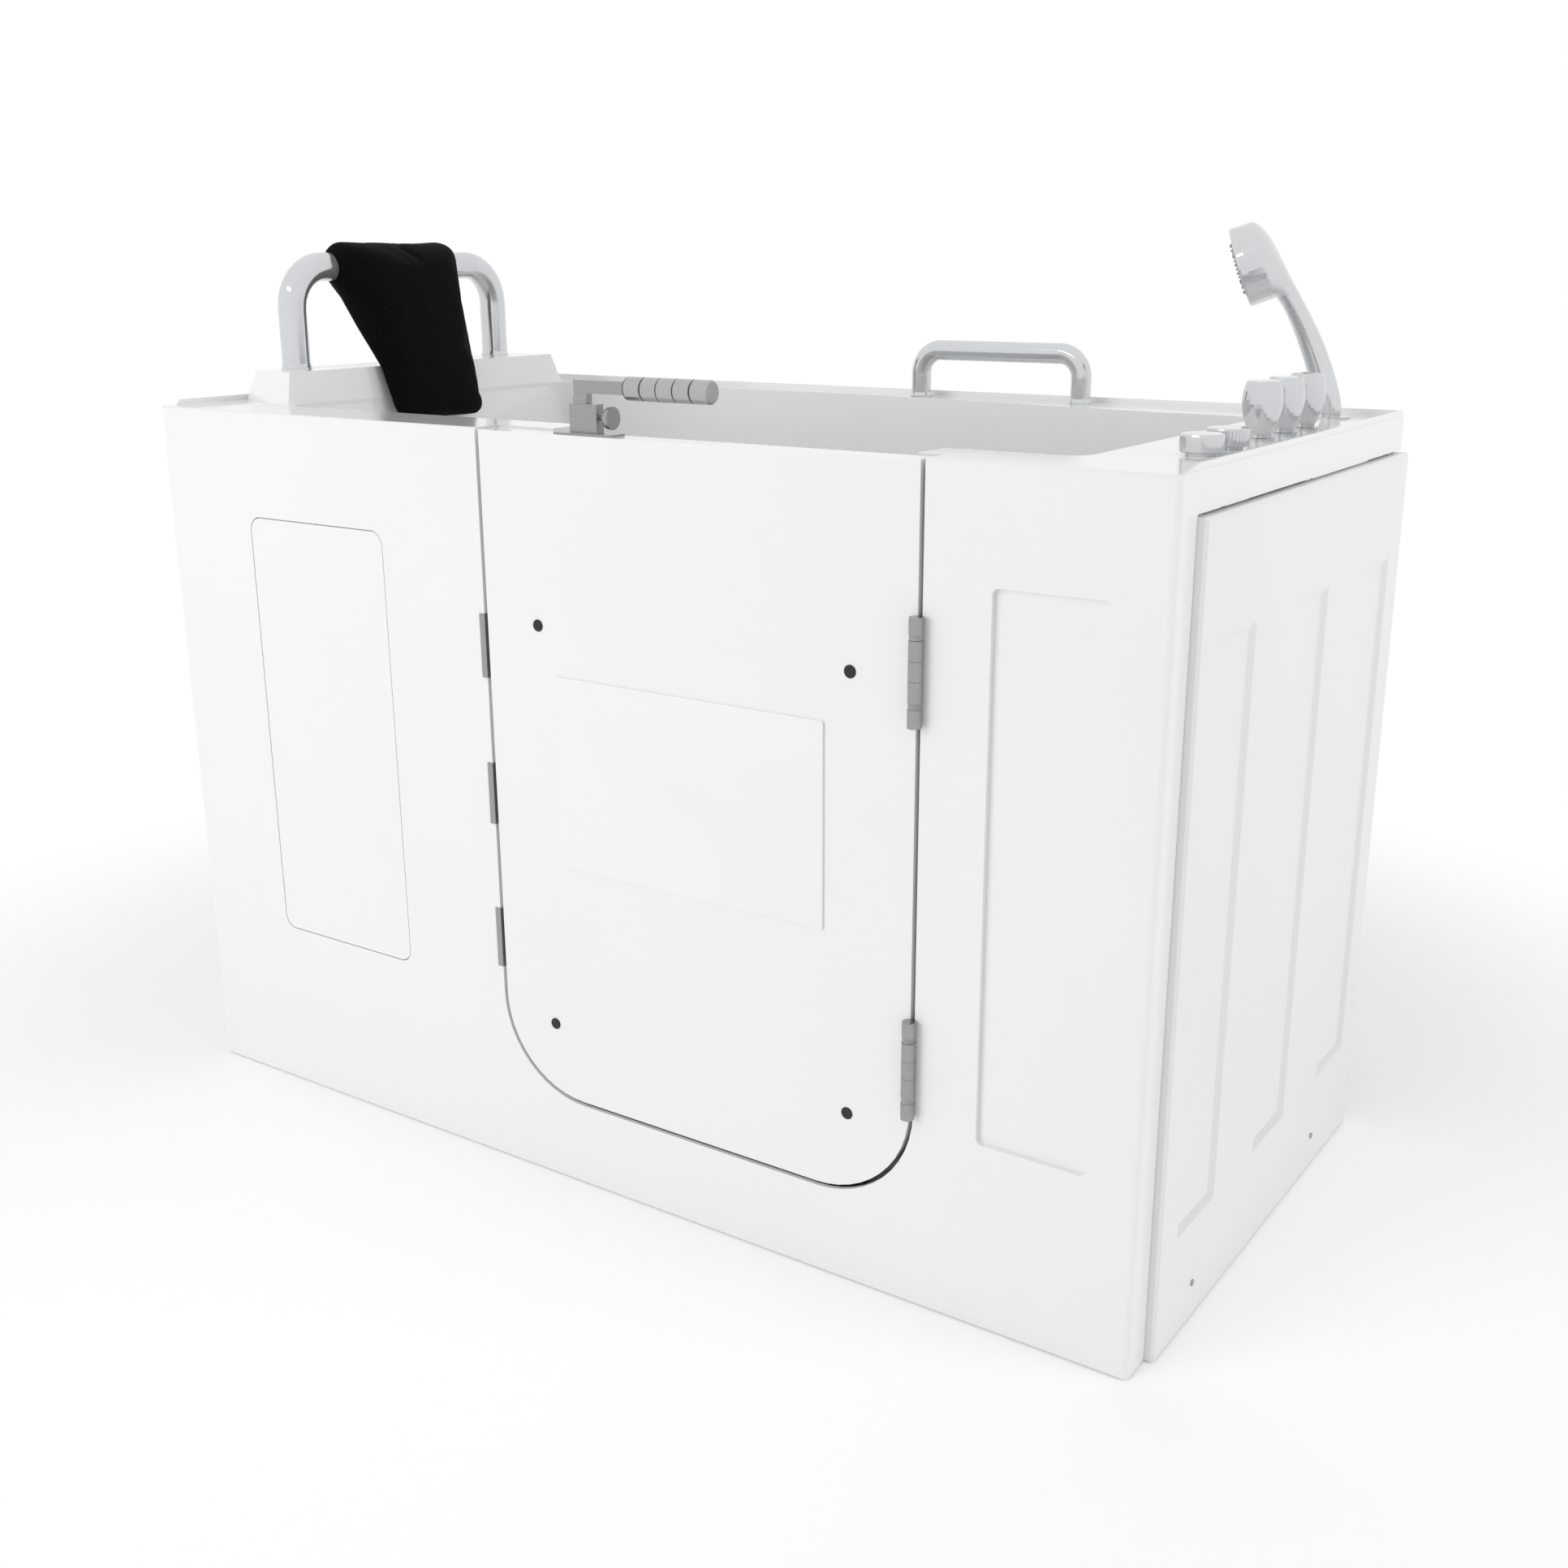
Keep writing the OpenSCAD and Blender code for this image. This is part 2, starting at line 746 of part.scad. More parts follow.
// Round rod along a path of square turns, each bent to radius r on its middle line
module bent(path, d, r) {
    n = len(path);
    for (i = [0 : n - 2]) {
        u = unit(path[i + 1] - path[i]);
        from = i == 0 ? path[0] : path[i] + u * r;
        to = i == n - 2 ? path[n - 1] : path[i + 1] - u * r;
        side = abs(u[2]) > 0.5 ? [1, 0, 0] : [0, 0, 1];
        other = cross(u, side);
        multmatrix([
            [side[0], other[0], u[0], from[0]],
            [side[1], other[1], u[1], from[1]],
            [side[2], other[2], u[2], from[2]],
            [0, 0, 0, 1]
        ]) cylinder(d = d, h = norm(to - from));
    }
    for (i = [1 : 1 : n - 2]) {
        u = unit(path[i] - path[i - 1]);
        v = unit(path[i + 1] - path[i]);
        w = cross(u, v);
        c = path[i] - u * r + v * r;
        multmatrix([
            [-v[0], u[0], w[0], c[0]],
            [-v[1], u[1], w[1], c[1]],
            [-v[2], u[2], w[2], c[2]],
            [0, 0, 0, 1]
        ]) rotate_extrude(angle = 90) translate([r, 0]) circle(d = d);
    }
}

access_outline = box_outline(access_in, access_in + access_w, access_z, access_z + access_h, access_r);
recess_outline = box_outline(
    tub_l - recess_in - recess_w, tub_l - recess_in, recess_z, recess_z + recess_h, recess_r);
high = raised_z + rim_h;
well_cross = [
    [well_front, footwell_h, foot_r],
    [tub_w - back_deck_seat_w, footwell_h, foot_r],
    [tub_w - back_deck_seat_w, raised_z, 0],
    [well_front, raised_z, 0]
];

module well(d, low, top) {
    intersection() {
        upright(grown(well_side, d), 0, tub_w);
        sideways(grown(well_cross, d), 0, tub_l);
        level(grown(well_plan, d), low, top);
    }
}

// Raised end, or the hollow inside it when d is the shell's thickness
module raised_block(d, low) {
    yf = raised_front;
    yb = tub_w - raised_back;
    top_in = well_left - raised_inner_slope;
    intersection() {
        upright([
            [raised_out + 2 * d, low, 0],
            [well_left - d, low, 0],
            [top_in - d, raised_z - d, 0],
            [top_in - raised_top_w + d, raised_z - d, 0]
        ], 0, tub_w);
        sideways([
            [yf + d, low, 0],
            [yb - d, low, 0],
            [yb - raised_end_slope - d, raised_z - d, 0],
            [yf + raised_end_slope + d, raised_z - d, 0]
        ], 0, well_left);
        level([
            [0, yf + raised_cut + d, 0],
            [well_left * 0.72, yf + d, 0],
            [well_left, yf + d, 0],
            [well_left, yb - d, 0],
            [well_left * 0.72, yb - d, 0],
            [0, yb - raised_cut - d, 0]
        ], low, raised_z);
    }
}

module flange_side(x, start, ramp) {
    low = rim_h - skin_t / 2;
    sideways([
        [start, low, 0],
        [tub_w - flange_set, low, 0],
        [tub_w - flange_set, rim_h + flange_h, 0],
        [start + ramp, rim_h + flange_h, 0],
        [start + ramp / 10, rim_h, 0]
    ], x, x + flange_t);
}

module rim_and_front() {
    color("white") placed() difference() {
        union() {
            difference() {
                level([
                    [0, 0, corner_r],
                    [tub_l, 0, corner_r],
                    [tub_l, tub_w, 0],
                    [0, tub_w, 0]
                ], floor_gap, rim_h);
                box(skin_t, tub_l - skin_t, skin_t, tub_w - skin_t, floor_gap - cut, deck_z);
                box(-cut, tub_l + cut, return_w, tub_w + cut, floor_gap - cut, rim_h - band_h);
                level(well_plan, deck_z - cut, rim_h + cut);
            }
            flange_side(flange_set, flange_start, flange_h);
            flange_side(tub_l - flange_set - flange_t, flange_start / 4, flange_ramp);
            box(
                flange_set, tub_l - flange_set,
                tub_w - flange_set - flange_t, tub_w - flange_set,
                rim_h - skin_t / 2, rim_h + flange_h
            );
            upright(grown(access_outline, ledge_w), skin_t / 2, skin_t + ledge_t);
            upright(grown(recess_outline, skin_t), skin_t / 2, recess_d + ledge_t);
        }
        upright(grown(access_outline, access_gap), -cut, skin_t);
        upright(grown(access_outline, -ledge_w), -cut, skin_t + ledge_t + cut);
        upright(recess_outline, -cut, recess_d);
        upright(grown(door_outline(high), seam), -cut, seal_face_y);
        upright(opening_outline(high), seal_face_y - cut, well_front + cut);
        translate([tub_l + cut, 0, rim_h]) multmatrix([
            [0, 0, -1, 0],
            [1, 0, 0, 0],
            [0, -1, 0, 0],
            [0, 0, 0, 1]
        ]) edge_waste(edge_r, tub_l + 2 * cut);
        for (y = concat(knob_ys, handle_ys)) rod_z(shank_d, control_x, y, deck_z - cut, rim_h + cut);
        rod_z(shower_foot_d, shower_x, shower_y, deck_z - cut, rim_h + cut);
        for (x = rear_bar_xs) rod_z(bar_stud_d + 2 * gap, x, rear_bar_y, deck_z - cut, rim_h + cut);
    }
}

module raised_end() {
    color("white") placed() difference() {
        raised_block(0, rim_h);
        raised_block(skin_t, rim_h - cut);
        for (y = seat_bar_ys) rod_z(bar_stud_d + 2 * gap, seat_bar_x, y, rim_h, raised_z + cut);
    }
}

// Place on the footwell's end wall: X runs out of the well
module on_end_wall(y, z) {
    x = well_right - end_lean * (deck_z - z) / (deck_z - footwell_h);
    translate([x, y, z]) rotate([0, end_lean_angle, 0]) children();
}

module basin() {
    color("white") placed() difference() {
        well(skin_t, footwell_h - skin_t - cut, deck_z);
        well(0, footwell_h - cut, high);
        upright(opening_outline(high), well_front - skin_t - cut, well_front + cut);
        for (y = drain_ys) rod_z(throat_d + 4 * gap, drain_x, y, 0, footwell_h + cut);
        on_end_wall(overflow_y, overflow_z) rod_x(neck_d + 4 * gap, -cut, skin_t + cut, 0, 0);
        on_end_wall(handle_ys[2], inlet_z) rod_x(neck_d + 4 * gap, -cut, skin_t + cut, 0, 0);
    }
}

module door_jamb() {
    color("white") placed() difference() {
        intersection() {
            union() {
                upright(grown(door_outline(high), seam + jamb_t), skin_t, seal_face_y + jamb_t);
                upright(grown(opening_outline(high), jamb_t), seal_face_y, well_front - skin_t);
            }
            box(0, tub_l, 0, tub_w, floor_gap, deck_z);
        }
        upright(grown(door_outline(high), seam), 0, seal_face_y);
        upright(opening_outline(high), seal_face_y - cut, well_front);
        for (z = strike_zs)
            rod_x(bolt_d + 2 * gap, door_left - seam - jamb_t - cut, door_left - seam + cut, bolt_y, z);
    }
}

module access_panel() {
    color("white") placed() upright(access_outline, 0, skin_t);
}

// End panel, outer face at X zero, looking along +X
module end_panel_form() {
    y0 = return_w + gap;
    y1 = tub_w;
    z1 = rim_h - band_h - end_gap;
    t = end_t + skin_t;
    c = end_chamfer;
    mid = (y0 + y1) / 2;
    difference() {
        intersection() {
            level([
                [-t, y0, 0], [-c, y0, 0], [0, y0 + c, 0], [0, y1 - c, 0], [-c, y1, 0], [-t, y1, 0]
            ], floor_gap, z1);
            upright([
                [-t, floor_gap, 0], [0, floor_gap, 0], [0, z1 - c, 0], [-c, z1, 0], [-t, z1, 0]
            ], y0, y1);
        }
        box(-t - cut, -end_t, y0 + end_rim_w, y1 - end_rim_w, floor_gap + end_foot_h, z1 - end_rim_w);
        for (k = [-1 : 1]) {
            ya = mid + k * ((y1 - y0 - shaker_w) / 2 - shaker_edge) - shaker_w / 2;
            yb = ya + shaker_w;
            zb = shaker_z + shaker_h;
            intersection() {
                level([
                    [-shaker_d, ya + shaker_bevel, 0], [0, ya, 0], [cut, ya, 0],
                    [cut, yb, 0], [0, yb, 0], [-shaker_d, yb - shaker_bevel, 0]
                ], shaker_z, zb);
                upright([
                    [-shaker_d, shaker_z + shaker_bevel, 0], [0, shaker_z, 0], [cut, shaker_z, 0],
                    [cut, zb, 0], [0, zb, 0], [-shaker_d, zb - shaker_bevel, 0]
                ], ya, yb);
            }
        }
        for (y = screw_ys) rod_x(shank_screw_d, -t - cut, cut, y, screw_z);
    }
}

module end_panel_right() {
    color("white") placed() translate([tub_l + end_t, 0, 0]) end_panel_form();
}

module end_panel_left() {
    color("white") placed() translate([-end_t, 0, 0]) mirror([1, 0, 0]) end_panel_form();
}

module end_panel_screws() {
    long = end_t + skin_t + tube_t;
    color("silver") placed() for (y = screw_ys) {
        rod_x(screw_d, tub_l + end_t, tub_l + end_t + screw_t, y, screw_z);
        rod_x(shank_screw_d, tub_l + end_t - long, tub_l + end_t, y, screw_z);
        rod_x(screw_d, -end_t - screw_t, -end_t, y, screw_z);
        rod_x(shank_screw_d, -end_t, -end_t + long, y, screw_z);
    }
}

// Door leaf
module door_outer_panel() {
    color("white") placed() difference() {
        upright(door_outline(door_top), 0, door_t - door_skin);
        upright(grown(door_outline(door_top), -door_skin), door_skin, door_t);
        rod_z(spindle_d + 2 * gap, lever_x, lever_y, door_top - door_skin - cut, door_top + cut);
        for (z = strike_zs) rod_x(bolt_d + 2 * gap, door_left - cut, door_left + door_skin + cut, bolt_y, z);
    }
}

module door_inner_panel() {
    color("white") placed() upright(door_outline(door_top), door_t - door_skin, door_t);
}

module door_stiffeners() {
    rib = door_skin;
    block = jamb_hinge;
    color("gainsboro") placed() intersection() {
        upright(grown(door_outline(door_top), -door_skin), door_skin, door_t - door_skin);
        union() {
            for (k = [0.4 : 0.24 : 0.9]) {
                x = door_left + k * door_w;
                box(x, x + rib, 0, door_t, door_bottom, door_top);
            }
            for (k = [0.25 : 0.25 : 0.75]) {
                z = door_bottom + k * (door_top - door_bottom);
                box(door_left + 0.4 * door_w, door_right, 0, door_t, z, z + rib);
            }
            for (z = [hinge_low_z, hinge_top_z])
                box(door_right - block, door_right, 0, door_t, z - barrel_l / 2, z + barrel_l / 2);
        }
    }
}

module door_seal() {
    top = door_top - seam;
    color("dimgray") placed() intersection() {
        difference() {
            upright(grown(opening_outline(high), seal_in + seal_w), door_t, door_t + seal_t);
            upright(grown(opening_outline(high), seal_in), door_t - cut, door_t + seal_t + cut);
        }
        box(door_left, door_right, 0, tub_w, door_bottom, top);
    }
}

module door_plate() {
    x = door_left + plate_in;
    color("white") placed()
        upright(box_outline(x, x + plate_w, plate_z, plate_z + plate_h, plate_t), -plate_t, 0);
}

module door_screw_caps() {
    color("black") placed() for (x = [0, cap_span_w], z = [0, cap_span_h])
        translate([door_left + cap_in + x, 0, cap_z + z]) rotate([90, 0, 0]) {
            cylinder(d = cap_d, h = cap_t / 2);
            cylinder(d1 = cap_d, d2 = cap_d - cap_t, h = cap_t);
        }
}

// Hinges: places along the barrel as shares of its length
pin_cap = [0, 0.046];
knuckles_fixed = [[0.046, 0.17], [0.427, 0.608], [0.844, 0.972]];
knuckles_door = [[0.225, 0.427], [0.608, 0.794]];
washer_spans = [[0.17, 0.225], [0.794, 0.844]];

module at_hinges() {
    for (z = [hinge_low_z, hinge_top_z]) translate([hinge_x, hinge_y, z - barrel_l / 2]) children();
}

// One leaf with its knuckles; side is 1 on the jamb and -1 on the door
module hinge_leaf(spans, side, trim, bore) {
    x0 = side > 0 ? seam / 2 - leaf_t : -seam / 2;
    difference() {
        union() {
            for (s = spans) {
                rod_z(barrel_d, 0, 0, s[0] * barrel_l + trim, s[1] * barrel_l - trim);
                box(x0, x0 + leaf_t, 0, leaf_depth, s[0] * barrel_l + trim, s[1] * barrel_l - trim);
            }
            box(x0, x0 + leaf_t, -hinge_y + leaf_t, leaf_depth, pin_cap[1] * barrel_l, barrel_l * 0.972);
        }
        rod_z(bore, 0, 0, -cut, barrel_l + cut);
    }
}

module hinge_fixed_leaves() {
    color("silver") placed() at_hinges() hinge_leaf(knuckles_fixed, 1, 0, pin_d);
}

module hinge_door_leaves() {
    color("silver") placed() at_hinges() hinge_leaf(knuckles_door, -1, gap, pin_d + 2 * fit);
}

module hinge_pins() {
    color("silver") placed() at_hinges() {
        cylinder(d = pin_d, h = barrel_l);
        rod_z(barrel_d - gap, 0, 0, 0, pin_cap[1] * barrel_l);
        rod_z(barrel_d - gap, 0, 0, 0.972 * barrel_l, barrel_l);
    }
}

module hinge_washers() {
    color("gray") placed() at_hinges() for (s = washer_spans) difference() {
        rod_z(barrel_d - 4 * gap, 0, 0, s[0] * barrel_l, s[1] * barrel_l);
        rod_z(pin_d, 0, 0, 0, barrel_l);
    }
}

module latch_strikes() {
    x = door_left - seam;
    color("silver") placed() for (z = strike_zs) difference() {
        union() {
            box(x - strike_w, x + strike_t, -strike_t, 0, z - strike_h / 2, z + strike_h / 2);
            box(x, x + strike_t, -strike_t, door_t - door_skin, z - strike_h / 2, z + strike_h / 2);
        }
        rod_x(bolt_d + 2 * gap, x - cut, x + strike_t + cut, bolt_y, z);
    }
}

// Latch on top of the door
module latch_base_plate() {
    color("silver") placed() difference() {
        level(box_outline(
            lever_x - base_in, lever_x - base_in + base_l,
            lever_y - base_w / 2, lever_y + base_w / 2, 2 * base_t
        ), door_top, base_z);
        rod_z(spindle_d + 2 * gap, lever_x, lever_y, door_top - cut, base_z + cut);
    }
}

module latch_block() {
    x = lever_x - block_in;
    color("silver") placed() difference() {
        box(x, x + block_l, lever_y - block_w / 2, lever_y + block_w / 2, base_z, block_z);
        rod_z(spindle_d + 2 * fit, lever_x, lever_y, base_z - cut, block_z + cut);
        rod_x(
            knob_stem_d + 2 * fit, lever_x + spindle_d / 2 + cut, x + block_l + cut,
            lever_y, base_z + knob_z
        );
    }
}

module latch_lever() {
    x = lever_x - neck_back;
    color("silver") placed() {
        rod_z(spindle_d, lever_x, lever_y, crank_z + crank_t, arm_z);
        sideways([
            [lever_y - block_w / 2, block_z + gap, 0], [lever_y + arm_t / 2, block_z + gap, 0],
            [lever_y + arm_t / 2, arm_z, 0], [lever_y - arm_t / 2, arm_z, 0],
            [lever_y - arm_t / 2, arm_z - neck_h / 6, 0], [lever_y - block_w / 2, arm_z - neck_h / 2, 0]
        ], x, x + neck_l);
        box(x, lever_x + grip_in, lever_y - arm_t / 2, lever_y + arm_t / 2, arm_z, arm_z + arm_h);
    }
}

module latch_grip() {
    r = grip_d / 2;
    c = r / 7;
    g = c / 2;
    color("silver") placed() translate([lever_x + grip_in, lever_y, arm_z + arm_h / 2]) rotate([0, 90, 0])
        rotate_extrude() polygon([
            [0, 0], [r - c, 0], [r - c / 3, c / 3], [r, c],
            for (k = [0.21, 0.4, 0.6, 0.8])
                let (z = k * grip_l)
                each [[r, z - c], [r - g, z - g], [r - g, z + g], [r, z + c]],
            [r, grip_l - c], [r - c / 3, grip_l - c / 3], [r - c, grip_l], [0, grip_l]
        ]);
}

crank_x = lever_x + crank_r * cos(45);
crank_y = lever_y + crank_r * sin(45);

module latch_crank() {
    color("silver") placed() {
        rod_z(2 * crank_r + crank_pin_d + 2 * gap, lever_x, lever_y, crank_z, crank_z + crank_t);
        rod_z(crank_pin_d, crank_x, crank_y, crank_z - 2 * crank_t, crank_z);
    }
}

module latch_tie_bar() {
    x = door_left + tie_in;
    top = crank_z - crank_t / 2;
    slot = crank_pin_d / 2 + 1.3 * gap;
    far = lever_y + crank_r + slot;
    color("silver") placed() difference() {
        union() {
            box(x, x + tie_w, bolt_y - tie_t / 2, bolt_y + tie_t / 2, strike_zs[0] - tie_w, top);
            box(x, crank_x + crank_pin_d + slot, lever_y - tie_w / 2, far + gap, top - crank_t, top);
        }
        box(crank_x - slot, crank_x + slot, crank_y - slot, far + cut, top - crank_t - cut, top + cut);
    }
}

module latch_bolts() {
    color("silver") placed() for (z = strike_zs) rod_x(bolt_d, tip_x, door_left + tie_in, bolt_y, z);
}

module latch_guides() {
    x = door_left + door_skin;
    color("gray") placed() for (z = strike_zs) difference() {
        box(x, x + guide_l, door_skin, door_t - door_skin, z - guide_h / 2, z + guide_h / 2);
        rod_x(bolt_d + 2 * fit, x - cut, x + guide_l + cut, bolt_y, z);
    }
}

module release_knob() {
    x0 = lever_x + spindle_d / 2 + 2 * cut;
    face = lever_x - block_in + block_l + knob_out;
    r = knob_d / 2;
    s = knob_stem_d / 2;
    color("silver") placed() translate([x0, lever_y, base_z + knob_z]) rotate([0, 90, 0])
        rotate_extrude() polygon([
            [0, 0], [s, 0], [s, face - x0 - knob_t],
            for (a = [0 : 15 : 75]) [s + (r - s) * sin(a), face - x0 - knob_t + knob_t * 0.7 * (1 - cos(a))],
            [r, face - x0 - knob_t * 0.3], [r, face - x0 - cut / 2], [r - cut / 2, face - x0], [0, face - x0]
        ]);
}

// Bars
module seat_bar_path(d, over) {
    low = raised_z - over;
    bent([
        [seat_bar_x, seat_bar_ys[0], low],
        [seat_bar_x, seat_bar_ys[0], seat_bar_z],
        [seat_bar_x, seat_bar_ys[1], seat_bar_z],
        [seat_bar_x, seat_bar_ys[1], low]
    ], d, seat_bar_bend);
}

module rear_bar_path(d, over) {
    low = rim_h - over;
    bent([
        [rear_bar_xs[0], rear_bar_y, low],
        [rear_bar_xs[0], rear_bar_y, rear_bar_z],
        [rear_bar_xs[1], rear_bar_y, rear_bar_z],
        [rear_bar_xs[1], rear_bar_y, low]
    ], d, rear_bar_bend);
}

module seat_end_bar() {
    color("silver") placed() difference() {
        seat_bar_path(seat_bar_d, 0);
        seat_bar_path(seat_bar_d - 2 * bar_t, cut);
    }
}

module rear_grab_bar() {
    color("silver") placed() difference() {
        rear_bar_path(rear_bar_d, 0);
        rear_bar_path(rear_bar_d - 2 * bar_t, cut);
    }
}

module bar_foot(x, y, z, d, bar) {
    h = bar_foot_h;
    translate([x, y, z]) rotate_extrude() polygon([
        [bar / 2, 0], [d / 2, 0], [d / 2, h / 3], [(d + bar) / 4, h * 0.55], [bar / 2 + gap, h], [bar / 2, h]
    ]);
}

module bar_feet() {
    color("silver") placed() {
        for (y = seat_bar_ys) bar_foot(seat_bar_x, y, raised_z, seat_bar_foot_d, seat_bar_d);
        for (x = rear_bar_xs) bar_foot(x, rear_bar_y, rim_h, rear_bar_foot_d, rear_bar_d);
    }
}

// Plug in the leg, stud through the rim, washer and nut below
module bar_fixing(x, y, z, bar) {
    inner = bar - 2 * bar_t;
    nut = 2 * bar_stud_d;
    low = z - skin_t - bar_stud_d;
    rod_z(inner, x, y, z, z + bar_plug_h);
    rod_z(bar_stud_d, x, y, z - skin_t - bar_stud_l, z);
    translate([x, y, low]) cylinder(d = nut, h = bar_stud_d, $fn = 6);
}

module bar_fixings() {
    color("gray") placed() {
        for (y = seat_bar_ys) bar_fixing(seat_bar_x, y, raised_z, seat_bar_d);
        for (x = rear_bar_xs) bar_fixing(x, rear_bar_y, rim_h, rear_bar_d);
    }
}

// Pillow: rings from its foot up to its top, round a tunnel for the bar
pillow_mid = [well_left - raised_inner_slope + pillow_clear + 1.04 * pillow_low_t, raised_z];
pillow_top = [seat_bar_x + pillow_ahead, seat_bar_z + pillow_over];
pillow_foot = pillow_mid + (pillow_mid - pillow_top) * pillow_drop / (pillow_top[1] - raised_z);
pillow_up = unit(pillow_top - pillow_foot);
pillow_out = [pillow_up[1], -pillow_up[0]];

function closing(s, edge) =
    s < edge ? sqrt(1 - pow(1 - s / edge, 2)) : s > 1 - edge ? sqrt(1 - pow(1 - (1 - s) / edge, 2)) : 1;
function swell(a, e) = sign(a) * pow(abs(a), e);

function pillow_ring(s) =
    let (
        k = max(0, min(1, (s - 0.3) / 0.54)),
        thick = pillow_low_t + (pillow_top_t - pillow_low_t) * k,
        c = pillow_foot + (pillow_top - pillow_foot) * s - pillow_out * thick / 2,
        full = pillow_low_w + (pillow_top_w - pillow_low_w) * pow(s, 0.8),
        wide = full - 2 * pillow_r * (1 - closing(s, 0.09)),
        t = thick * max(0.08, closing(s, s < 0.5 ? 0.05 : 0.13)) / 2,
        dip = s > 0.75 ? pillow_dip * (s - 0.75) / 0.25 : 0
    )
    [for (k = [0 : 39])
        let (
            u = swell(cos(9 * k), 0.62),
            v = swell(sin(9 * k), 0.4),
            crown = u > 0 ? pillow_crown * u * (1 - v * v) * closing(s, 0.3) : 0,
            q = c + pillow_out * (t * u + crown)
        )
        [q[0], seat_bar_y - pillow_side + v * wide / 2, q[1] - dip * (1 - v * v)]];

module head_pillow() {
    color("black") placed() difference() {
        loft([for (k = [0 : 26]) pillow_ring((1 - cos(180 * k / 26)) / 2)]);
        seat_bar_path(seat_bar_d + 2 * gap, 0);
    }
}

// Controls on the deck
module low_knob(y) {
    r = low_knob_d / 2;
    c = low_knob_h / 8;
    translate([control_x, y, control_z + gap]) difference() {
        rotate_extrude() polygon([
            [0, 0], [r - c / 2, 0], [r, c / 2], [r, low_knob_h - c],
            [r - c * 0.3, low_knob_h - c * 0.3], [r - c, low_knob_h], [0, low_knob_h]
        ]);
        rod_z(stem_d + 2 * fit, 0, 0, -cut, low_knob_h - 2 * c);
    }
}

module front_drain_knob() {
    color("silver") placed() low_knob(knob_ys[0]);
}

module rear_drain_knob() {
    color("silver") placed() difference() {
        low_knob(knob_ys[1]);
        for (k = [0 : 35])
            translate([control_x, knob_ys[1], control_z]) rotate(10 * k)
                rod_z(rib_d, low_knob_d / 2 + rib_d / 5, 0, -cut, low_knob_h - rib_d, $fn = 16);
    }
}

module handle(y) {
    r0 = handle_low_d / 2;
    r2 = handle_top_d / 2;
    rc = handle_d - (r0 + r2) / 2;
    c = r2 / 9;
    h = handle_h - neck_low_h;
    translate([control_x, y, control_z + gap]) difference() {
        rotate_extrude() polygon([
            [0, 0], [r0 - neck_low_h / 4, 0], [r0 - neck_low_h / 4, neck_low_h],
            for (k = [0 : 12])
                let (t = k / 12, q = 1 - t)
                [q * q * r0 + 2 * t * q * rc + t * t * r2, neck_low_h + h * t * (1 - t * c / h)],
            [r2 - c * 0.3, handle_h - c * 0.3],
            [r2 - c, handle_h], [0, handle_h]
        ]);
        rod_z(stem_d + 2 * fit, 0, 0, -cut, handle_h / 2);
    }
}

module hot_handle() {
    color("silver") placed() handle(handle_ys[0]);
}

module cold_handle() {
    color("silver") placed() handle(handle_ys[1]);
}

module diverter_handle() {
    color("silver") placed() handle(handle_ys[2]);
}

module control_discs() {
    color("silver") placed() for (y = concat(knob_ys, handle_ys)) difference() {
        rod_z(disc_d, control_x, y, rim_h, control_z);
        rod_z(stem_d, control_x, y, rim_h - cut, control_z + cut);
    }
}

module valve(y, l, up) {
    rod_z(valve_d, control_x, y, deck_z - l, deck_z);
    rod_z(shank_d, control_x, y, deck_z, rim_h);
    rod_z(stem_d, control_x, y, rim_h, control_z + up);
}

module deck_valves() {
    color("gray") placed() {
        for (y = handle_ys) valve(y, valve_l, handle_h / 2 - cut);
        rod_y(supply_d, control_x, handle_ys[0], handle_ys[2], deck_z - valve_l / 2);
    }
}

module cable_drives() {
    color("gray") placed() for (y = knob_ys) valve(y, valve_l / 2, low_knob_h / 2);
}

// Hand shower
shower_face = [shower_x - head_reach, rim_h + head_h];
shower_n = [-cos(spray_tilt), -sin(spray_tilt)];
shower_e = [-sin(spray_tilt), cos(spray_tilt)];
function at_head(a, b) = shower_face - shower_n * a + shower_e * b;
shower_foot_z = rim_h + holder_t + collar_h + gap;
head_back = ring_t + head_depth;
shower_back_path =
    let (p = [shower_x + shower_foot_d / 2, shower_foot_z], q = at_head(head_back, spray_d / 2 - gap))
    [p, p + [head_reach * 0.06, head_h * 0.15], q + [head_reach * 0.31, 0], q];
shower_front_path =
    let (p = [shower_x - shower_foot_d / 2, shower_foot_z], q = at_head(1.15 * head_back, gap - spray_d / 2))
    [p, p + [-head_reach * 0.12, head_h * 0.17], q + [head_reach * 0.2, -head_h * 0.16], q];

// Share of the shower's length that is handle
shower_neck = 0.57;

function shower_section(t) =
    let (
        wide = spray_d - 2 * gap,
        neck_w = shower_foot_d + (wide - shower_foot_d) * 0.19,
        m = min(1, t / shower_neck),
        h = max(0, (t - shower_neck) / (1 - shower_neck)),
        back = bez(shower_back_path, t) - [shower_waist * exp(-pow((t - 0.62) / 0.16, 2)), 0],
        corner = bez(shower_front_path, pow(m, 1.4)),
        front = corner + (at_head(head_back, -wide / 2) - shower_front_path[3]) * h,
        w = t < shower_neck ? shower_foot_d + (neck_w - shower_foot_d) * pow(m, 1.5)
            : neck_w + (wide - neck_w) * sin(90 * h),
        c = (back + front) / 2,
        u = (back - front) / 2
    )
    [for (k = [0 : 39])
        [c[0] + u[0] * cos(9 * k), shower_y + sin(9 * k) * w / 2, c[1] + u[1] * cos(9 * k)]];

// Turns the shower about its foot
module turned() {
    translate([shower_x, shower_y, 0]) rotate(spray_turn) translate([-shower_x, -shower_y, 0]) children();
}

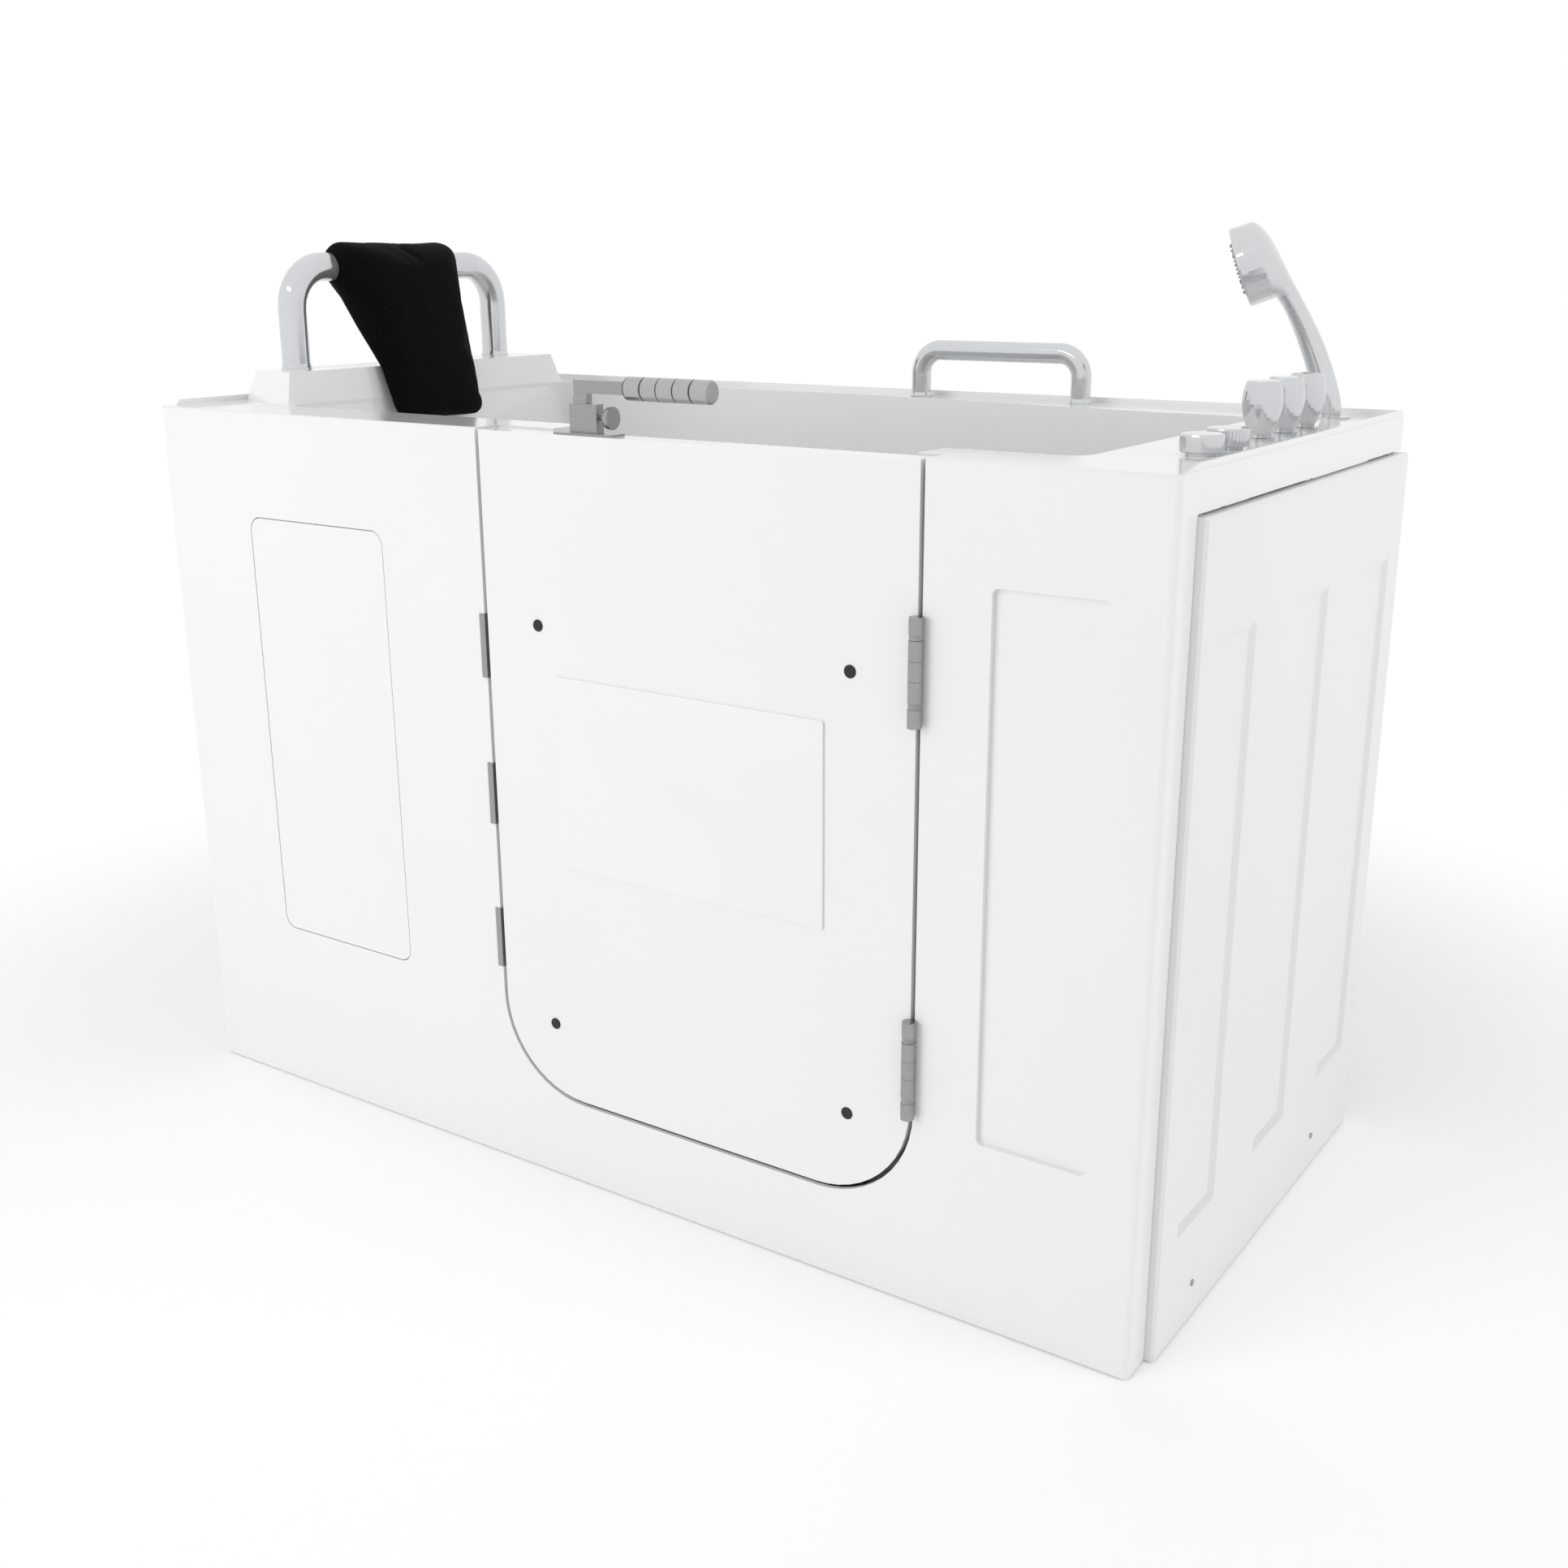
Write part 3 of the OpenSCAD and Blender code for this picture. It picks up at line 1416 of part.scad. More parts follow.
module shower_body() {
    r = spray_d / 2 - gap;
    tip = at_head(ring_t, 0);
    color("silver") placed() {
        turned() loft([
            for (k = [0 : 30]) shower_section(k / 30),
            [for (k = [0 : 39])
                let (q = tip + r * shower_e * cos(9 * k))
                [q[0], shower_y + r * sin(9 * k), q[1]]]
        ]);
        rod_z(peg_d, shower_x, shower_y, shower_foot_z - peg_l, shower_foot_z);
    }
}

// Place on the spray face: Z runs out of the face
module on_spray() {
    turned() translate([shower_face[0], shower_y, shower_face[1]])
        rotate([0, -90 - spray_tilt, 0]) children();
}

module shower_ring() {
    r = spray_d / 2;
    c = ring_t / 5;
    color("silver") placed() on_spray() rotate_extrude() polygon([
        [nozzle_d / 2, -ring_t], [r, -ring_t], [r, -c],
        [r - c * 0.3, -c * 0.3], [r - c, 0], [nozzle_d / 2, 0]
    ]);
}

module shower_nozzle() {
    r = nozzle_d / 2;
    jet = nozzle_t * 0.8;
    color("white") placed() on_spray() {
        rotate_extrude() polygon([
            [0, -ring_t], [r, -ring_t], [r, 0], [r * 0.8, nozzle_t * 0.6], [r * 0.55, nozzle_t * 0.9],
            [r * 0.28, nozzle_t], [0, nozzle_t]
        ]);
        for (ring = [1 : 3], k = [0 : 6 * ring - 1])
            rotate(60 * k / ring) translate([r * 0.26 * ring, 0, 0])
                cylinder(d = jet, h = nozzle_t * 1.25, $fn = 16);
    }
}

module shower_holder() {
    bore = peg_d + 2 * fit;
    low = shower_foot_z - peg_l - cut;
    color("silver") placed() difference() {
        union() {
            rod_z(holder_d, shower_x, shower_y, rim_h, rim_h + holder_t);
            rod_z(shower_foot_d, shower_x, shower_y, low, rim_h + holder_t + collar_h);
            rod_z(holder_d - 2 * collar_h, shower_x, shower_y, deck_z - collar_h, deck_z);
        }
        rod_z(bore, shower_x, shower_y, low - cut, rim_h + holder_t + collar_h + cut);
    }
}

// Drains and pipes
module drain_bodies() {
    color("silver") placed() for (y = drain_ys) difference() {
        union() {
            rod_z(drain_flange_d, drain_x, y, footwell_h, footwell_h + drain_t);
            rod_z(throat_d, drain_x, y, drain_low_z, footwell_h + drain_t);
            rod_z(drain_flange_d, drain_x, y, footwell_h - skin_t - drain_t, footwell_h - skin_t);
        }
        difference() {
            rod_z(drain_throat_d, drain_x, y, drain_low_z + drain_t, footwell_h + drain_t + cut);
            box(
                drain_x - stopper_stem_d, drain_x + stopper_stem_d, y - throat_d / 2, y + throat_d / 2,
                waste_z + stopper_t, waste_z + 2 * stopper_t
            );
        }
        rod_z(stopper_stem_d + 2 * fit, drain_x, y, drain_low_z + drain_t, footwell_h + drain_t);
    }
}

module stopper(y) {
    z = footwell_h + drain_t + gap;
    r = drain_throat_d / 2 + drain_t;
    translate([drain_x, y, z]) {
        rotate_extrude() polygon([
            [0, 0], [r, 0], [r, stopper_t / 2], [r * 0.7, stopper_t * 0.9], [0, stopper_t]
        ]);
        rod_z(stopper_stem_d, 0, 0, drain_low_z + drain_t + gap - z, 0);
    }
}

module front_stopper() {
    color("silver") placed() stopper(drain_ys[0]);
}

module rear_stopper() {
    color("silver") placed() stopper(drain_ys[1]);
}

module drain_cables() {
    from = deck_z - valve_l / 2;
    to = drain_x + throat_d / 2;
    color("dimgray") placed() for (k = [0 : 1])
        bent([
            [control_x, knob_ys[k], from],
            [control_x, knob_ys[k], cable_z],
            [control_x, drain_ys[k], cable_z],
            [to, drain_ys[k], cable_z]
        ], cable_d, supply_r * 0.8);
}

module waste_run(d, over) {
    rod_y(d, drain_x, drain_ys[0], tub_w + over, waste_z);
    bent([
        [overflow_x - waste_d, overflow_y, overflow_z],
        [overflow_x, overflow_y, overflow_z],
        [overflow_x, overflow_y, waste_z],
        [drain_x, overflow_y, waste_z]
    ], d - cut, waste_d * 0.75);
}

module waste_pipe() {
    color("gainsboro") placed() difference() {
        waste_run(waste_d, 0);
        waste_run(waste_d - 2 * drain_t, cut);
        for (y = drain_ys) rod_z(throat_d + 4 * gap, drain_x, y, 0, footwell_h);
        on_end_wall(overflow_y, overflow_z) rod_x(2 * waste_d, -2 * waste_d, skin_t + neck_out, 0, 0);
    }
}

module wall_cover(d) {
    slot = d / 12;
    difference() {
        union() {
            rod_x(d, -cover_t, -fit, 0, 0);
            rod_x(neck_d, -cover_t, skin_t + neck_out, 0, 0);
        }
        rod_x(neck_d - 2 * cover_t, -cover_t / 2, skin_t + neck_out + cut, 0, 0);
        for (k = [-1 : 1]) {
            y = 2 * k * slot;
            box(-cover_t - cut, 0, y - slot / 2, y + slot / 2, -2 * slot, 2 * slot);
        }
    }
}

module overflow_plate() {
    color("silver") placed() on_end_wall(overflow_y, overflow_z) wall_cover(overflow_d);
}

module fill_inlet() {
    color("silver") placed() on_end_wall(handle_ys[2], inlet_z) wall_cover(inlet_d);
}

module supply_pipes() {
    low = deck_z - valve_l;
    color("peru") placed() difference() {
        union() {
            bent([
                [control_x, handle_ys[0], low], [control_x, handle_ys[0], hot_z], [control_x, tub_w, hot_z]
            ], supply_d, supply_r);
            bent([
                [control_x, handle_ys[1], low], [control_x, handle_ys[1], cold_z], [control_x, tub_w, cold_z]
            ], supply_d, supply_r);
            bent([
                [control_x, handle_ys[2], low], [control_x, handle_ys[2], inlet_z],
                [well_right, handle_ys[2], inlet_z]
            ], supply_d, supply_r);
        }
        on_end_wall(handle_ys[2], inlet_z) rod_x(2 * supply_d, -2 * waste_d, skin_t + neck_out, 0, 0);
    }
}

// Frame
module long_rails() {
    color("lightgray") placed() for (y = rail_ys) difference() {
        square_tube_x(skin_t, tub_l - skin_t, y, frame_z, tube_w, rail_h);
        for (x = foot_xs) rod_z(foot_stud_d + 2 * gap, x, y + tube_w / 2, 0, frame_z + tube_t + cut);
    }
}

module cross_tubes() {
    y0 = rail_ys[0] + tube_w;
    color("lightgray") placed() difference() {
        for (x = cross_xs) square_tube_y(y0, rail_ys[1], x, frame_z, tube_w, rail_h);
        for (y = screw_ys) rod_x(shank_screw_d, 0, tub_l, y, screw_z);
    }
}

module frame_uprights() {
    xs = [skin_t, tub_l - skin_t - tube_w];
    color("lightgray") placed() {
        for (x = xs, y = rail_ys) square_tube_z(rail_top, deck_z, x, y);
        for (x = xs)
            square_tube_y(rail_ys[0] + tube_w + gap, rail_ys[1] - gap, x, top_rail_z, tube_w, tube_w);
        square_tube_x(
            skin_t + tube_w + gap, tub_l - skin_t - tube_w - gap, rail_ys[1], top_rail_z, tube_w, tube_w);
    }
}

module floor_bearers() {
    x0 = seat_front + 2 * tube_w;
    x1 = drain_x - drain_flange_d;
    ys = [well_front + 2 * foot_r, tub_w - back_deck_foot_w - 2 * foot_r - bearer_w];
    color("burlywood") placed() for (y = ys)
        box(x0, x1, y, y + bearer_w, rail_top, footwell_h - skin_t);
}

module seat_props() {
    ys = [well_front + 2 * tube_w, tub_w - back_deck_seat_w - 3 * tube_w];
    color("lightgray") placed() for (x = [cross_xs[1], cross_xs[2]], y = ys)
        square_tube_z(rail_top, seat_h - skin_t, x, y);
}

module levelling_feet() {
    color("dimgray") placed() for (x = foot_xs, y = rail_ys) {
        rod_z(foot_d, x, y + tube_w / 2, 0, foot_t);
        rod_z(foot_stud_d, x, y + tube_w / 2, foot_t, frame_z + 2 * foot_nut_t);
    }
}

module foot_nuts() {
    color("silver") placed() for (x = foot_xs, y = rail_ys)
        translate([x, y + tube_w / 2, frame_z - foot_nut_t]) difference() {
            cylinder(d = foot_nut_d, h = foot_nut_t, $fn = 6);
            translate([0, 0, -cut]) cylinder(d = foot_stud_d, h = foot_nut_t + 2 * cut);
        }
}

rim_and_front();
raised_end();
basin();
door_jamb();
access_panel();
end_panel_right();
end_panel_left();
end_panel_screws();
door_outer_panel();
door_inner_panel();
door_stiffeners();
door_seal();
door_plate();
door_screw_caps();
hinge_fixed_leaves();
hinge_door_leaves();
hinge_pins();
hinge_washers();
latch_strikes();
latch_base_plate();
latch_block();
latch_lever();
latch_grip();
latch_crank();
latch_tie_bar();
latch_bolts();
latch_guides();
release_knob();
seat_end_bar();
rear_grab_bar();
bar_feet();
bar_fixings();
head_pillow();
front_drain_knob();
rear_drain_knob();
hot_handle();
cold_handle();
diverter_handle();
control_discs();
deck_valves();
cable_drives();
shower_body();
shower_ring();
shower_nozzle();
shower_holder();
drain_bodies();
front_stopper();
rear_stopper();
drain_cables();
waste_pipe();
overflow_plate();
fill_inlet();
supply_pipes();
long_rails();
cross_tubes();
frame_uprights();
floor_bearers();
seat_props();
levelling_feet();
foot_nuts();
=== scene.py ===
# Walk-in bathtub: camera, light, finishes and the soft headrest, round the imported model.
import json
import math

import bmesh
import bpy
from mathutils import Matrix, Vector


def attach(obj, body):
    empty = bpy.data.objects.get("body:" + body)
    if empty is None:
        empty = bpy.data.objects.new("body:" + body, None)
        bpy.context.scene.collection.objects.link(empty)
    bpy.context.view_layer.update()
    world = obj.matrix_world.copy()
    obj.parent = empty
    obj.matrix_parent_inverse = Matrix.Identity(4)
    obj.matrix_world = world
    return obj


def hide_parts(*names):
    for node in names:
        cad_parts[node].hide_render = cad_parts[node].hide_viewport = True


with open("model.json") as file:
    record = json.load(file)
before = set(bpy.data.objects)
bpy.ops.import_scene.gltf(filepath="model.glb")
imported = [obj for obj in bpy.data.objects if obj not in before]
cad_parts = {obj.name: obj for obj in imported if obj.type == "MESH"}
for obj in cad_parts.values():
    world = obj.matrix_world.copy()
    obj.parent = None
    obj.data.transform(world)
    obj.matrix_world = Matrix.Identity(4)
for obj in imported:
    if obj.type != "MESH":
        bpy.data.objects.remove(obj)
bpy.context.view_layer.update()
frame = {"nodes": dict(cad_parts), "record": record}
nodes = frame["nodes"]
print("frame loaded:", len(nodes), "nodes")

camera = {
    "place": (1.3675, -1.92775, 1.1843),
    "yaw": -0.597712308,  # turn about Z, in radians like the next two
    "pitch": 0.293941721,  # how far it looks down
    "roll": -0.00412726815,
    "lens": 40.13,
    "sensor": 36.0,
    "farthest": 60.0,
}


def addCamera(c):
    ahead = Vector((
        math.sin(c["yaw"]) * math.cos(c["pitch"]),
        math.cos(c["yaw"]) * math.cos(c["pitch"]),
        -math.sin(c["pitch"]),
    ))
    right = Vector((math.cos(c["yaw"]), -math.sin(c["yaw"]), 0.0))
    up = right.cross(ahead)
    rightRolled = right * math.cos(c["roll"]) + up * math.sin(c["roll"])
    upRolled = up * math.cos(c["roll"]) - right * math.sin(c["roll"])
    turn = Matrix((rightRolled, upRolled, -ahead)).transposed().to_4x4()
    data = bpy.data.cameras.new("photoCamera")
    data.lens = c["lens"]
    data.sensor_width = c["sensor"]
    data.clip_end = c["farthest"]
    cam = bpy.data.objects.new("photoCamera", data)
    cam.matrix_world = Matrix.Translation(c["place"]) @ turn
    bpy.context.scene.collection.objects.link(cam)
    bpy.context.scene.camera = cam


addCamera(camera)
print("camera set")

studio = {
    "floorSize": 24.0,
    "floorColour": 0.92,
    "floorLift": 0.16,  # for the camera and reflections, brings the floor up to white
    "floorFade": (1.05, 1.9),  # metres from the middle where the floor turns plain white
    "ambient": 0.6,
    "lamps": {
        "keyLamp": {
            "place": (-1.9, -4.4, 1.9), "aim": (0.0, 0.0, 0.5),
            "size": (3.0, 2.4), "power": 64.0,
        },
        "sideLamp": {
            "place": (4.4, 0.4, 1.9), "aim": (0.6, 0.0, 0.5),
            "size": (2.4, 2.0), "power": 38.0,
        },
        "topLamp": {
            "place": (0.2, 0.2, 4.4), "aim": (0.0, 0.1, 0.6),
            "size": (3.6, 2.6), "power": 12.0,
        },
        "stripLamp": {
            "place": (-0.4, -3.4, 3.6), "aim": (0.0, 0.0, 0.9),
            "size": (2.6, 0.22), "power": 9.0,
            "mirrored": True,  # shows in polished metal
        },
    },
}


def addNode(tree, kind, **settings):
    node = tree.nodes.new(kind)
    for key, value in settings.items():
        setattr(node, key, value)
    return node


white = (1.0, 1.0, 1.0, 1.0)


def rayShare(tree, kinds):
    # 1 for the named kinds of ray, 0 for the others
    path = addNode(tree, "ShaderNodeLightPath")
    total = None
    for kind in kinds:
        if total is None:
            total = path.outputs[kind]
            continue
        join = addNode(tree, "ShaderNodeMath", operation="MAXIMUM")
        tree.links.new(total, join.inputs[0])
        tree.links.new(path.outputs[kind], join.inputs[1])
        total = join.outputs[0]
    return total


def addWorld(s):
    world = bpy.data.worlds.new("studioWorld")
    world.use_nodes = True
    tree = world.node_tree
    tree.nodes.clear()
    out = addNode(tree, "ShaderNodeOutputWorld")
    light = addNode(tree, "ShaderNodeBackground")
    light.inputs["Color"].default_value = white
    light.inputs["Strength"].default_value = s["ambient"]
    seen = addNode(tree, "ShaderNodeBackground")
    seen.inputs["Color"].default_value = white
    seen.inputs["Strength"].default_value = 1.0
    mix = addNode(tree, "ShaderNodeMixShader")
    share = rayShare(tree, ["Is Camera Ray", "Is Glossy Ray", "Is Transmission Ray"])
    tree.links.new(share, mix.inputs[0])
    tree.links.new(light.outputs[0], mix.inputs[1])
    tree.links.new(seen.outputs[0], mix.inputs[2])
    tree.links.new(mix.outputs[0], out.inputs["Surface"])
    bpy.context.scene.world = world


def addFloor(s):
    half = s["floorSize"] / 2
    mesh = bpy.data.meshes.new("studioFloor")
    corners = [(-half, -half, 0), (half, -half, 0), (half, half, 0), (-half, half, 0)]
    mesh.from_pydata(corners, [], [(0, 1, 2, 3)])
    floor = bpy.data.objects.new("studioFloor", mesh)
    bpy.context.scene.collection.objects.link(floor)
    mat = bpy.data.materials.new("paleFloor")
    mat.use_nodes = True
    tree = mat.node_tree
    tree.nodes.clear()
    out = addNode(tree, "ShaderNodeOutputMaterial")
    matte = addNode(tree, "ShaderNodeBsdfDiffuse")
    matte.inputs["Color"].default_value = (s["floorColour"],) * 3 + (1.0,)
    lift = addNode(tree, "ShaderNodeEmission")
    lift.inputs["Color"].default_value = white
    seen = rayShare(tree, ["Is Camera Ray", "Is Glossy Ray"])
    strength = addNode(tree, "ShaderNodeMath", operation="MULTIPLY")
    strength.inputs[1].default_value = s["floorLift"]
    both = addNode(tree, "ShaderNodeAddShader")
    tree.links.new(seen, strength.inputs[0])
    tree.links.new(strength.outputs[0], lift.inputs["Strength"])
    tree.links.new(matte.outputs[0], both.inputs[0])
    tree.links.new(lift.outputs[0], both.inputs[1])
    coords = addNode(tree, "ShaderNodeTexCoord")
    reach = addNode(tree, "ShaderNodeVectorMath", operation="LENGTH")
    tree.links.new(coords.outputs["Object"], reach.inputs[0])
    far = addNode(tree, "ShaderNodeMapRange", interpolation_type="SMOOTHSTEP")
    far.inputs["From Min"].default_value = s["floorFade"][0]
    far.inputs["From Max"].default_value = s["floorFade"][1]
    tree.links.new(reach.outputs["Value"], far.inputs["Value"])
    share = addNode(tree, "ShaderNodeMath", operation="MULTIPLY")
    tree.links.new(far.outputs["Result"], share.inputs[0])
    tree.links.new(seen, share.inputs[1])
    plain = addNode(tree, "ShaderNodeEmission")
    plain.inputs["Color"].default_value = white
    fade = addNode(tree, "ShaderNodeMixShader")
    tree.links.new(share.outputs[0], fade.inputs[0])
    tree.links.new(both.outputs[0], fade.inputs[1])
    tree.links.new(plain.outputs[0], fade.inputs[2])
    tree.links.new(fade.outputs[0], out.inputs["Surface"])
    mesh.materials.append(mat)


def addLamps(lamps):
    for name, lamp in lamps.items():
        data = bpy.data.lights.new(name, "AREA")
        data.shape = "RECTANGLE"
        data.size, data.size_y = lamp["size"]
        data.energy = lamp["power"]
        obj = bpy.data.objects.new(name, data)
        place = Vector(lamp["place"])
        obj.location = place
        obj.rotation_euler = (Vector(lamp["aim"]) - place).to_track_quat("-Z", "Y").to_euler()
        obj.visible_glossy = lamp.get("mirrored", False)
        bpy.context.scene.collection.objects.link(obj)


addWorld(studio)
addFloor(studio)
addLamps(studio["lamps"])
bpy.context.scene.view_settings.view_transform = "Standard"
print("floor, lamps and world set")


def grey(value):
    return (value, value, value)


def startFinish(name, colour, metal=0.0, rough=0.4, **sockets):
    mat = bpy.data.materials.new(name)
    mat.use_nodes = True
    tree = mat.node_tree
    tree.nodes.clear()
    out = addNode(tree, "ShaderNodeOutputMaterial")
    shader = addNode(tree, "ShaderNodeBsdfPrincipled")
    shader.inputs["Base Color"].default_value = tuple(colour) + (1.0,)
    shader.inputs["Metallic"].default_value = metal
    shader.inputs["Roughness"].default_value = rough
    for key, value in sockets.items():
        shader.inputs[key.replace("_", " ")].default_value = value
    tree.links.new(shader.outputs[0], out.inputs["Surface"])
    mat.diffuse_color = tuple(colour) + (1.0,)
    return mat, tree, shader


evenly = (1.0, 1.0, 1.0)


def stretched(tree, scale):
    # object coordinates, stretched along an axis
    coords = addNode(tree, "ShaderNodeTexCoord")
    mapping = addNode(tree, "ShaderNodeMapping")
    mapping.inputs["Scale"].default_value = scale
    tree.links.new(coords.outputs["Object"], mapping.inputs["Vector"])
    return mapping.outputs["Vector"]


def noiseOf(tree, vector, scale, detail=4.0, rough=0.5):
    tex = addNode(tree, "ShaderNodeTexNoise")
    tex.inputs["Scale"].default_value = scale
    tex.inputs["Detail"].default_value = detail
    tex.inputs["Roughness"].default_value = rough
    tree.links.new(vector, tex.inputs["Vector"])
    return tex.outputs["Fac"]


def spread(tree, value, low, high, fromLow=0.3, fromHigh=0.7):
    ramp = addNode(tree, "ShaderNodeMapRange")
    ramp.inputs["From Min"].default_value = fromLow
    ramp.inputs["From Max"].default_value = fromHigh
    ramp.inputs["To Min"].default_value = low
    ramp.inputs["To Max"].default_value = high
    tree.links.new(value, ramp.inputs["Value"])
    return ramp.outputs["Result"]


def twoTones(tree, shader, value, dark, light, low=0.3, high=0.7):
    ramp = addNode(tree, "ShaderNodeValToRGB")
    ramp.color_ramp.elements[0].position = low
    ramp.color_ramp.elements[0].color = tuple(dark) + (1.0,)
    ramp.color_ramp.elements[1].position = high
    ramp.color_ramp.elements[1].color = tuple(light) + (1.0,)
    tree.links.new(value, ramp.inputs["Fac"])
    tree.links.new(ramp.outputs["Color"], shader.inputs["Base Color"])


def bumps(tree, shader, layers):
    # each layer is (height value, strength, distance)
    last = None
    for value, strength, distance in layers:
        bump = addNode(tree, "ShaderNodeBump")
        bump.inputs["Strength"].default_value = strength
        bump.inputs["Distance"].default_value = distance
        tree.links.new(value, bump.inputs["Height"])
        if last is not None:
            tree.links.new(last, bump.inputs["Normal"])
        last = bump.outputs["Normal"]
    tree.links.new(last, shader.inputs["Normal"])


acrylic = {
    "tone": (0.93, 0.93, 0.925),
    "shade": (0.915, 0.916, 0.912),
    "rough": (0.1, 0.14),
    "coat": 0.3,
    "cloudScale": 3.0,  # a higher scale makes a finer pattern
    "glossScale": 14.0,
    "peelScale": 160.0,
    "peel": 0.008,  # how strong the faint orange peel of the moulding is
    "peelDepth": 0.0002,
}


def glossyAcrylic(name, a):
    mat, tree, shader = startFinish(
        name, a["tone"], rough=a["rough"][0], IOR=1.49,
        Coat_Weight=a["coat"], Coat_Roughness=0.05, Coat_IOR=1.5)
    flat = stretched(tree, evenly)
    cloudy = noiseOf(tree, flat, a["cloudScale"], detail=2.0)
    twoTones(tree, shader, cloudy, a["shade"], a["tone"])
    gloss = noiseOf(tree, flat, a["glossScale"], detail=3.0)
    tree.links.new(spread(tree, gloss, *a["rough"]), shader.inputs["Roughness"])
    peel = noiseOf(tree, flat, a["peelScale"], detail=1.0)
    bumps(tree, shader, [(peel, a["peel"], a["peelDepth"])])
    return mat, tree, shader


# painted shade: the jamb's rebate, seen only through the door seam, is coloured near black
jambSeamShade = {
    "ends": -0.3190,  # along the tub's width
    "soft": 0.0005,  # half the width of its blurred end
    "tone": (0.02, 0.02, 0.02),
}


def seamShadedAcrylic(name, a, paintedSeam):
    # white shell whose rebate, where the door closes, is painted near black: painted shade for
    # the dark door seam
    mat, tree, shader = glossyAcrylic(name, a)
    ramp = shader.inputs["Base Color"].links[0].from_socket
    coords = addNode(tree, "ShaderNodeTexCoord")
    split = addNode(tree, "ShaderNodeSeparateXYZ")
    tree.links.new(coords.outputs["Object"], split.inputs[0])
    inside = addNode(tree, "ShaderNodeMapRange")
    inside.inputs["From Min"].default_value = paintedSeam["ends"] - paintedSeam["soft"]
    inside.inputs["From Max"].default_value = paintedSeam["ends"] + paintedSeam["soft"]
    tree.links.new(split.outputs["Y"], inside.inputs["Value"])
    mix = addNode(tree, "ShaderNodeMix", data_type="RGBA")
    mix.inputs["A"].default_value = tuple(paintedSeam["tone"]) + (1.0,)
    tree.links.new(inside.outputs["Result"], mix.inputs["Factor"])
    tree.links.new(ramp, mix.inputs["B"])
    tree.links.new(mix.outputs["Result"], shader.inputs["Base Color"])
    return mat


chrome = {
    "metal": 0.72,
    "tint": (0.985, 1.0, 1.025),
    "rough": (0.1, 0.15),
    "film": (0.975, 1.02),  # how a thin film of water marks shifts the tone
    "filmScale": 18.0,
}


def polishedChrome(name, tone, c=chrome):
    body = tuple(tone * part for part in c["tint"])
    mat, tree, shader = startFinish(name, body, metal=c["metal"], rough=c["rough"][0], IOR=1.6)
    flat = stretched(tree, evenly)
    film = noiseOf(tree, flat, c["filmScale"], detail=3.0)
    dull = [c["film"][0] * part for part in body]
    bright = [min(1.0, c["film"][1] * part) for part in body]
    twoTones(tree, shader, film, dull, bright)
    tree.links.new(spread(tree, film, *c["rough"]), shader.inputs["Roughness"])
    return mat


brushing = {
    "grainScale": 90.0,
    "cloudScale": 22.0,
    "tones": (0.92, 1.06),
    "roughShares": (0.9, 1.15),
    "grain": 0.09,
    "grainDepth": 0.0002,
}


def brushedSteel(name, tone, along, rough=0.3, b=brushing):
    mat, tree, shader = startFinish(name, grey(tone), metal=1.0, rough=rough)
    grain = noiseOf(tree, stretched(tree, along), b["grainScale"], detail=5.0, rough=0.6)
    cloud = noiseOf(tree, stretched(tree, evenly), b["cloudScale"], detail=2.0)
    dark, light = (grey(min(1.0, tone * share)) for share in b["tones"])
    twoTones(tree, shader, grain, dark, light)
    low, high = (rough * share for share in b["roughShares"])
    tree.links.new(spread(tree, cloud, low, high), shader.inputs["Roughness"])
    bumps(tree, shader, [(grain, b["grain"], b["grainDepth"])])
    return mat


# painted shade: dark bands across the grip where its grooves lie
grooves = {
    "first": 0.1005,  # along the tub's length, at rest
    "pitch": 0.0234,
    "half": 0.0009,
    "last": 0.185,  # no groove past this place
    "tone": 0.08,
    "blur": 1.5,  # its dark tone has faded out at this times the half width
    "along": (14.0, 1.0, 1.0),
    "rough": 0.24,
}


def grooveShadedSteel(name, tone, g):
    # the grip's steel, with painted shade: dark bands painted where its four turned grooves lie
    mat = brushedSteel(name, tone, g["along"], g["rough"])
    tree = mat.node_tree
    shader = next(n for n in tree.nodes if n.type == "BSDF_PRINCIPLED")
    steel = shader.inputs["Base Color"].links[0].from_socket
    coords = addNode(tree, "ShaderNodeTexCoord")
    split = addNode(tree, "ShaderNodeSeparateXYZ")
    tree.links.new(coords.outputs["Object"], split.inputs[0])
    shift = addNode(tree, "ShaderNodeMath", operation="SUBTRACT")
    shift.inputs[1].default_value = g["first"]
    tree.links.new(split.outputs["X"], shift.inputs[0])
    nearest = addNode(tree, "ShaderNodeMath", operation="PINGPONG")
    nearest.inputs[1].default_value = g["pitch"] / 2
    tree.links.new(shift.outputs[0], nearest.inputs[0])
    share = spread(tree, nearest.outputs[0], 0.0, 1.0, g["half"], g["half"] * g["blur"])
    past = addNode(tree, "ShaderNodeMath", operation="GREATER_THAN")
    past.inputs[1].default_value = g["last"]
    tree.links.new(split.outputs["X"], past.inputs[0])
    plain = addNode(tree, "ShaderNodeMath", operation="MAXIMUM")
    tree.links.new(share, plain.inputs[0])
    tree.links.new(past.outputs[0], plain.inputs[1])
    mix = addNode(tree, "ShaderNodeMix", data_type="RGBA")
    mix.inputs["A"].default_value = grey(g["tone"]) + (1.0,)
    tree.links.new(plain.outputs[0], mix.inputs["Factor"])
    tree.links.new(steel, mix.inputs["B"])
    tree.links.new(mix.outputs["Result"], shader.inputs["Base Color"])
    return mat


moulding = {
    "cloudScale": 24.0,
    "roughShares": (0.88, 1.12),
    "grainDepth": 0.0005,
}


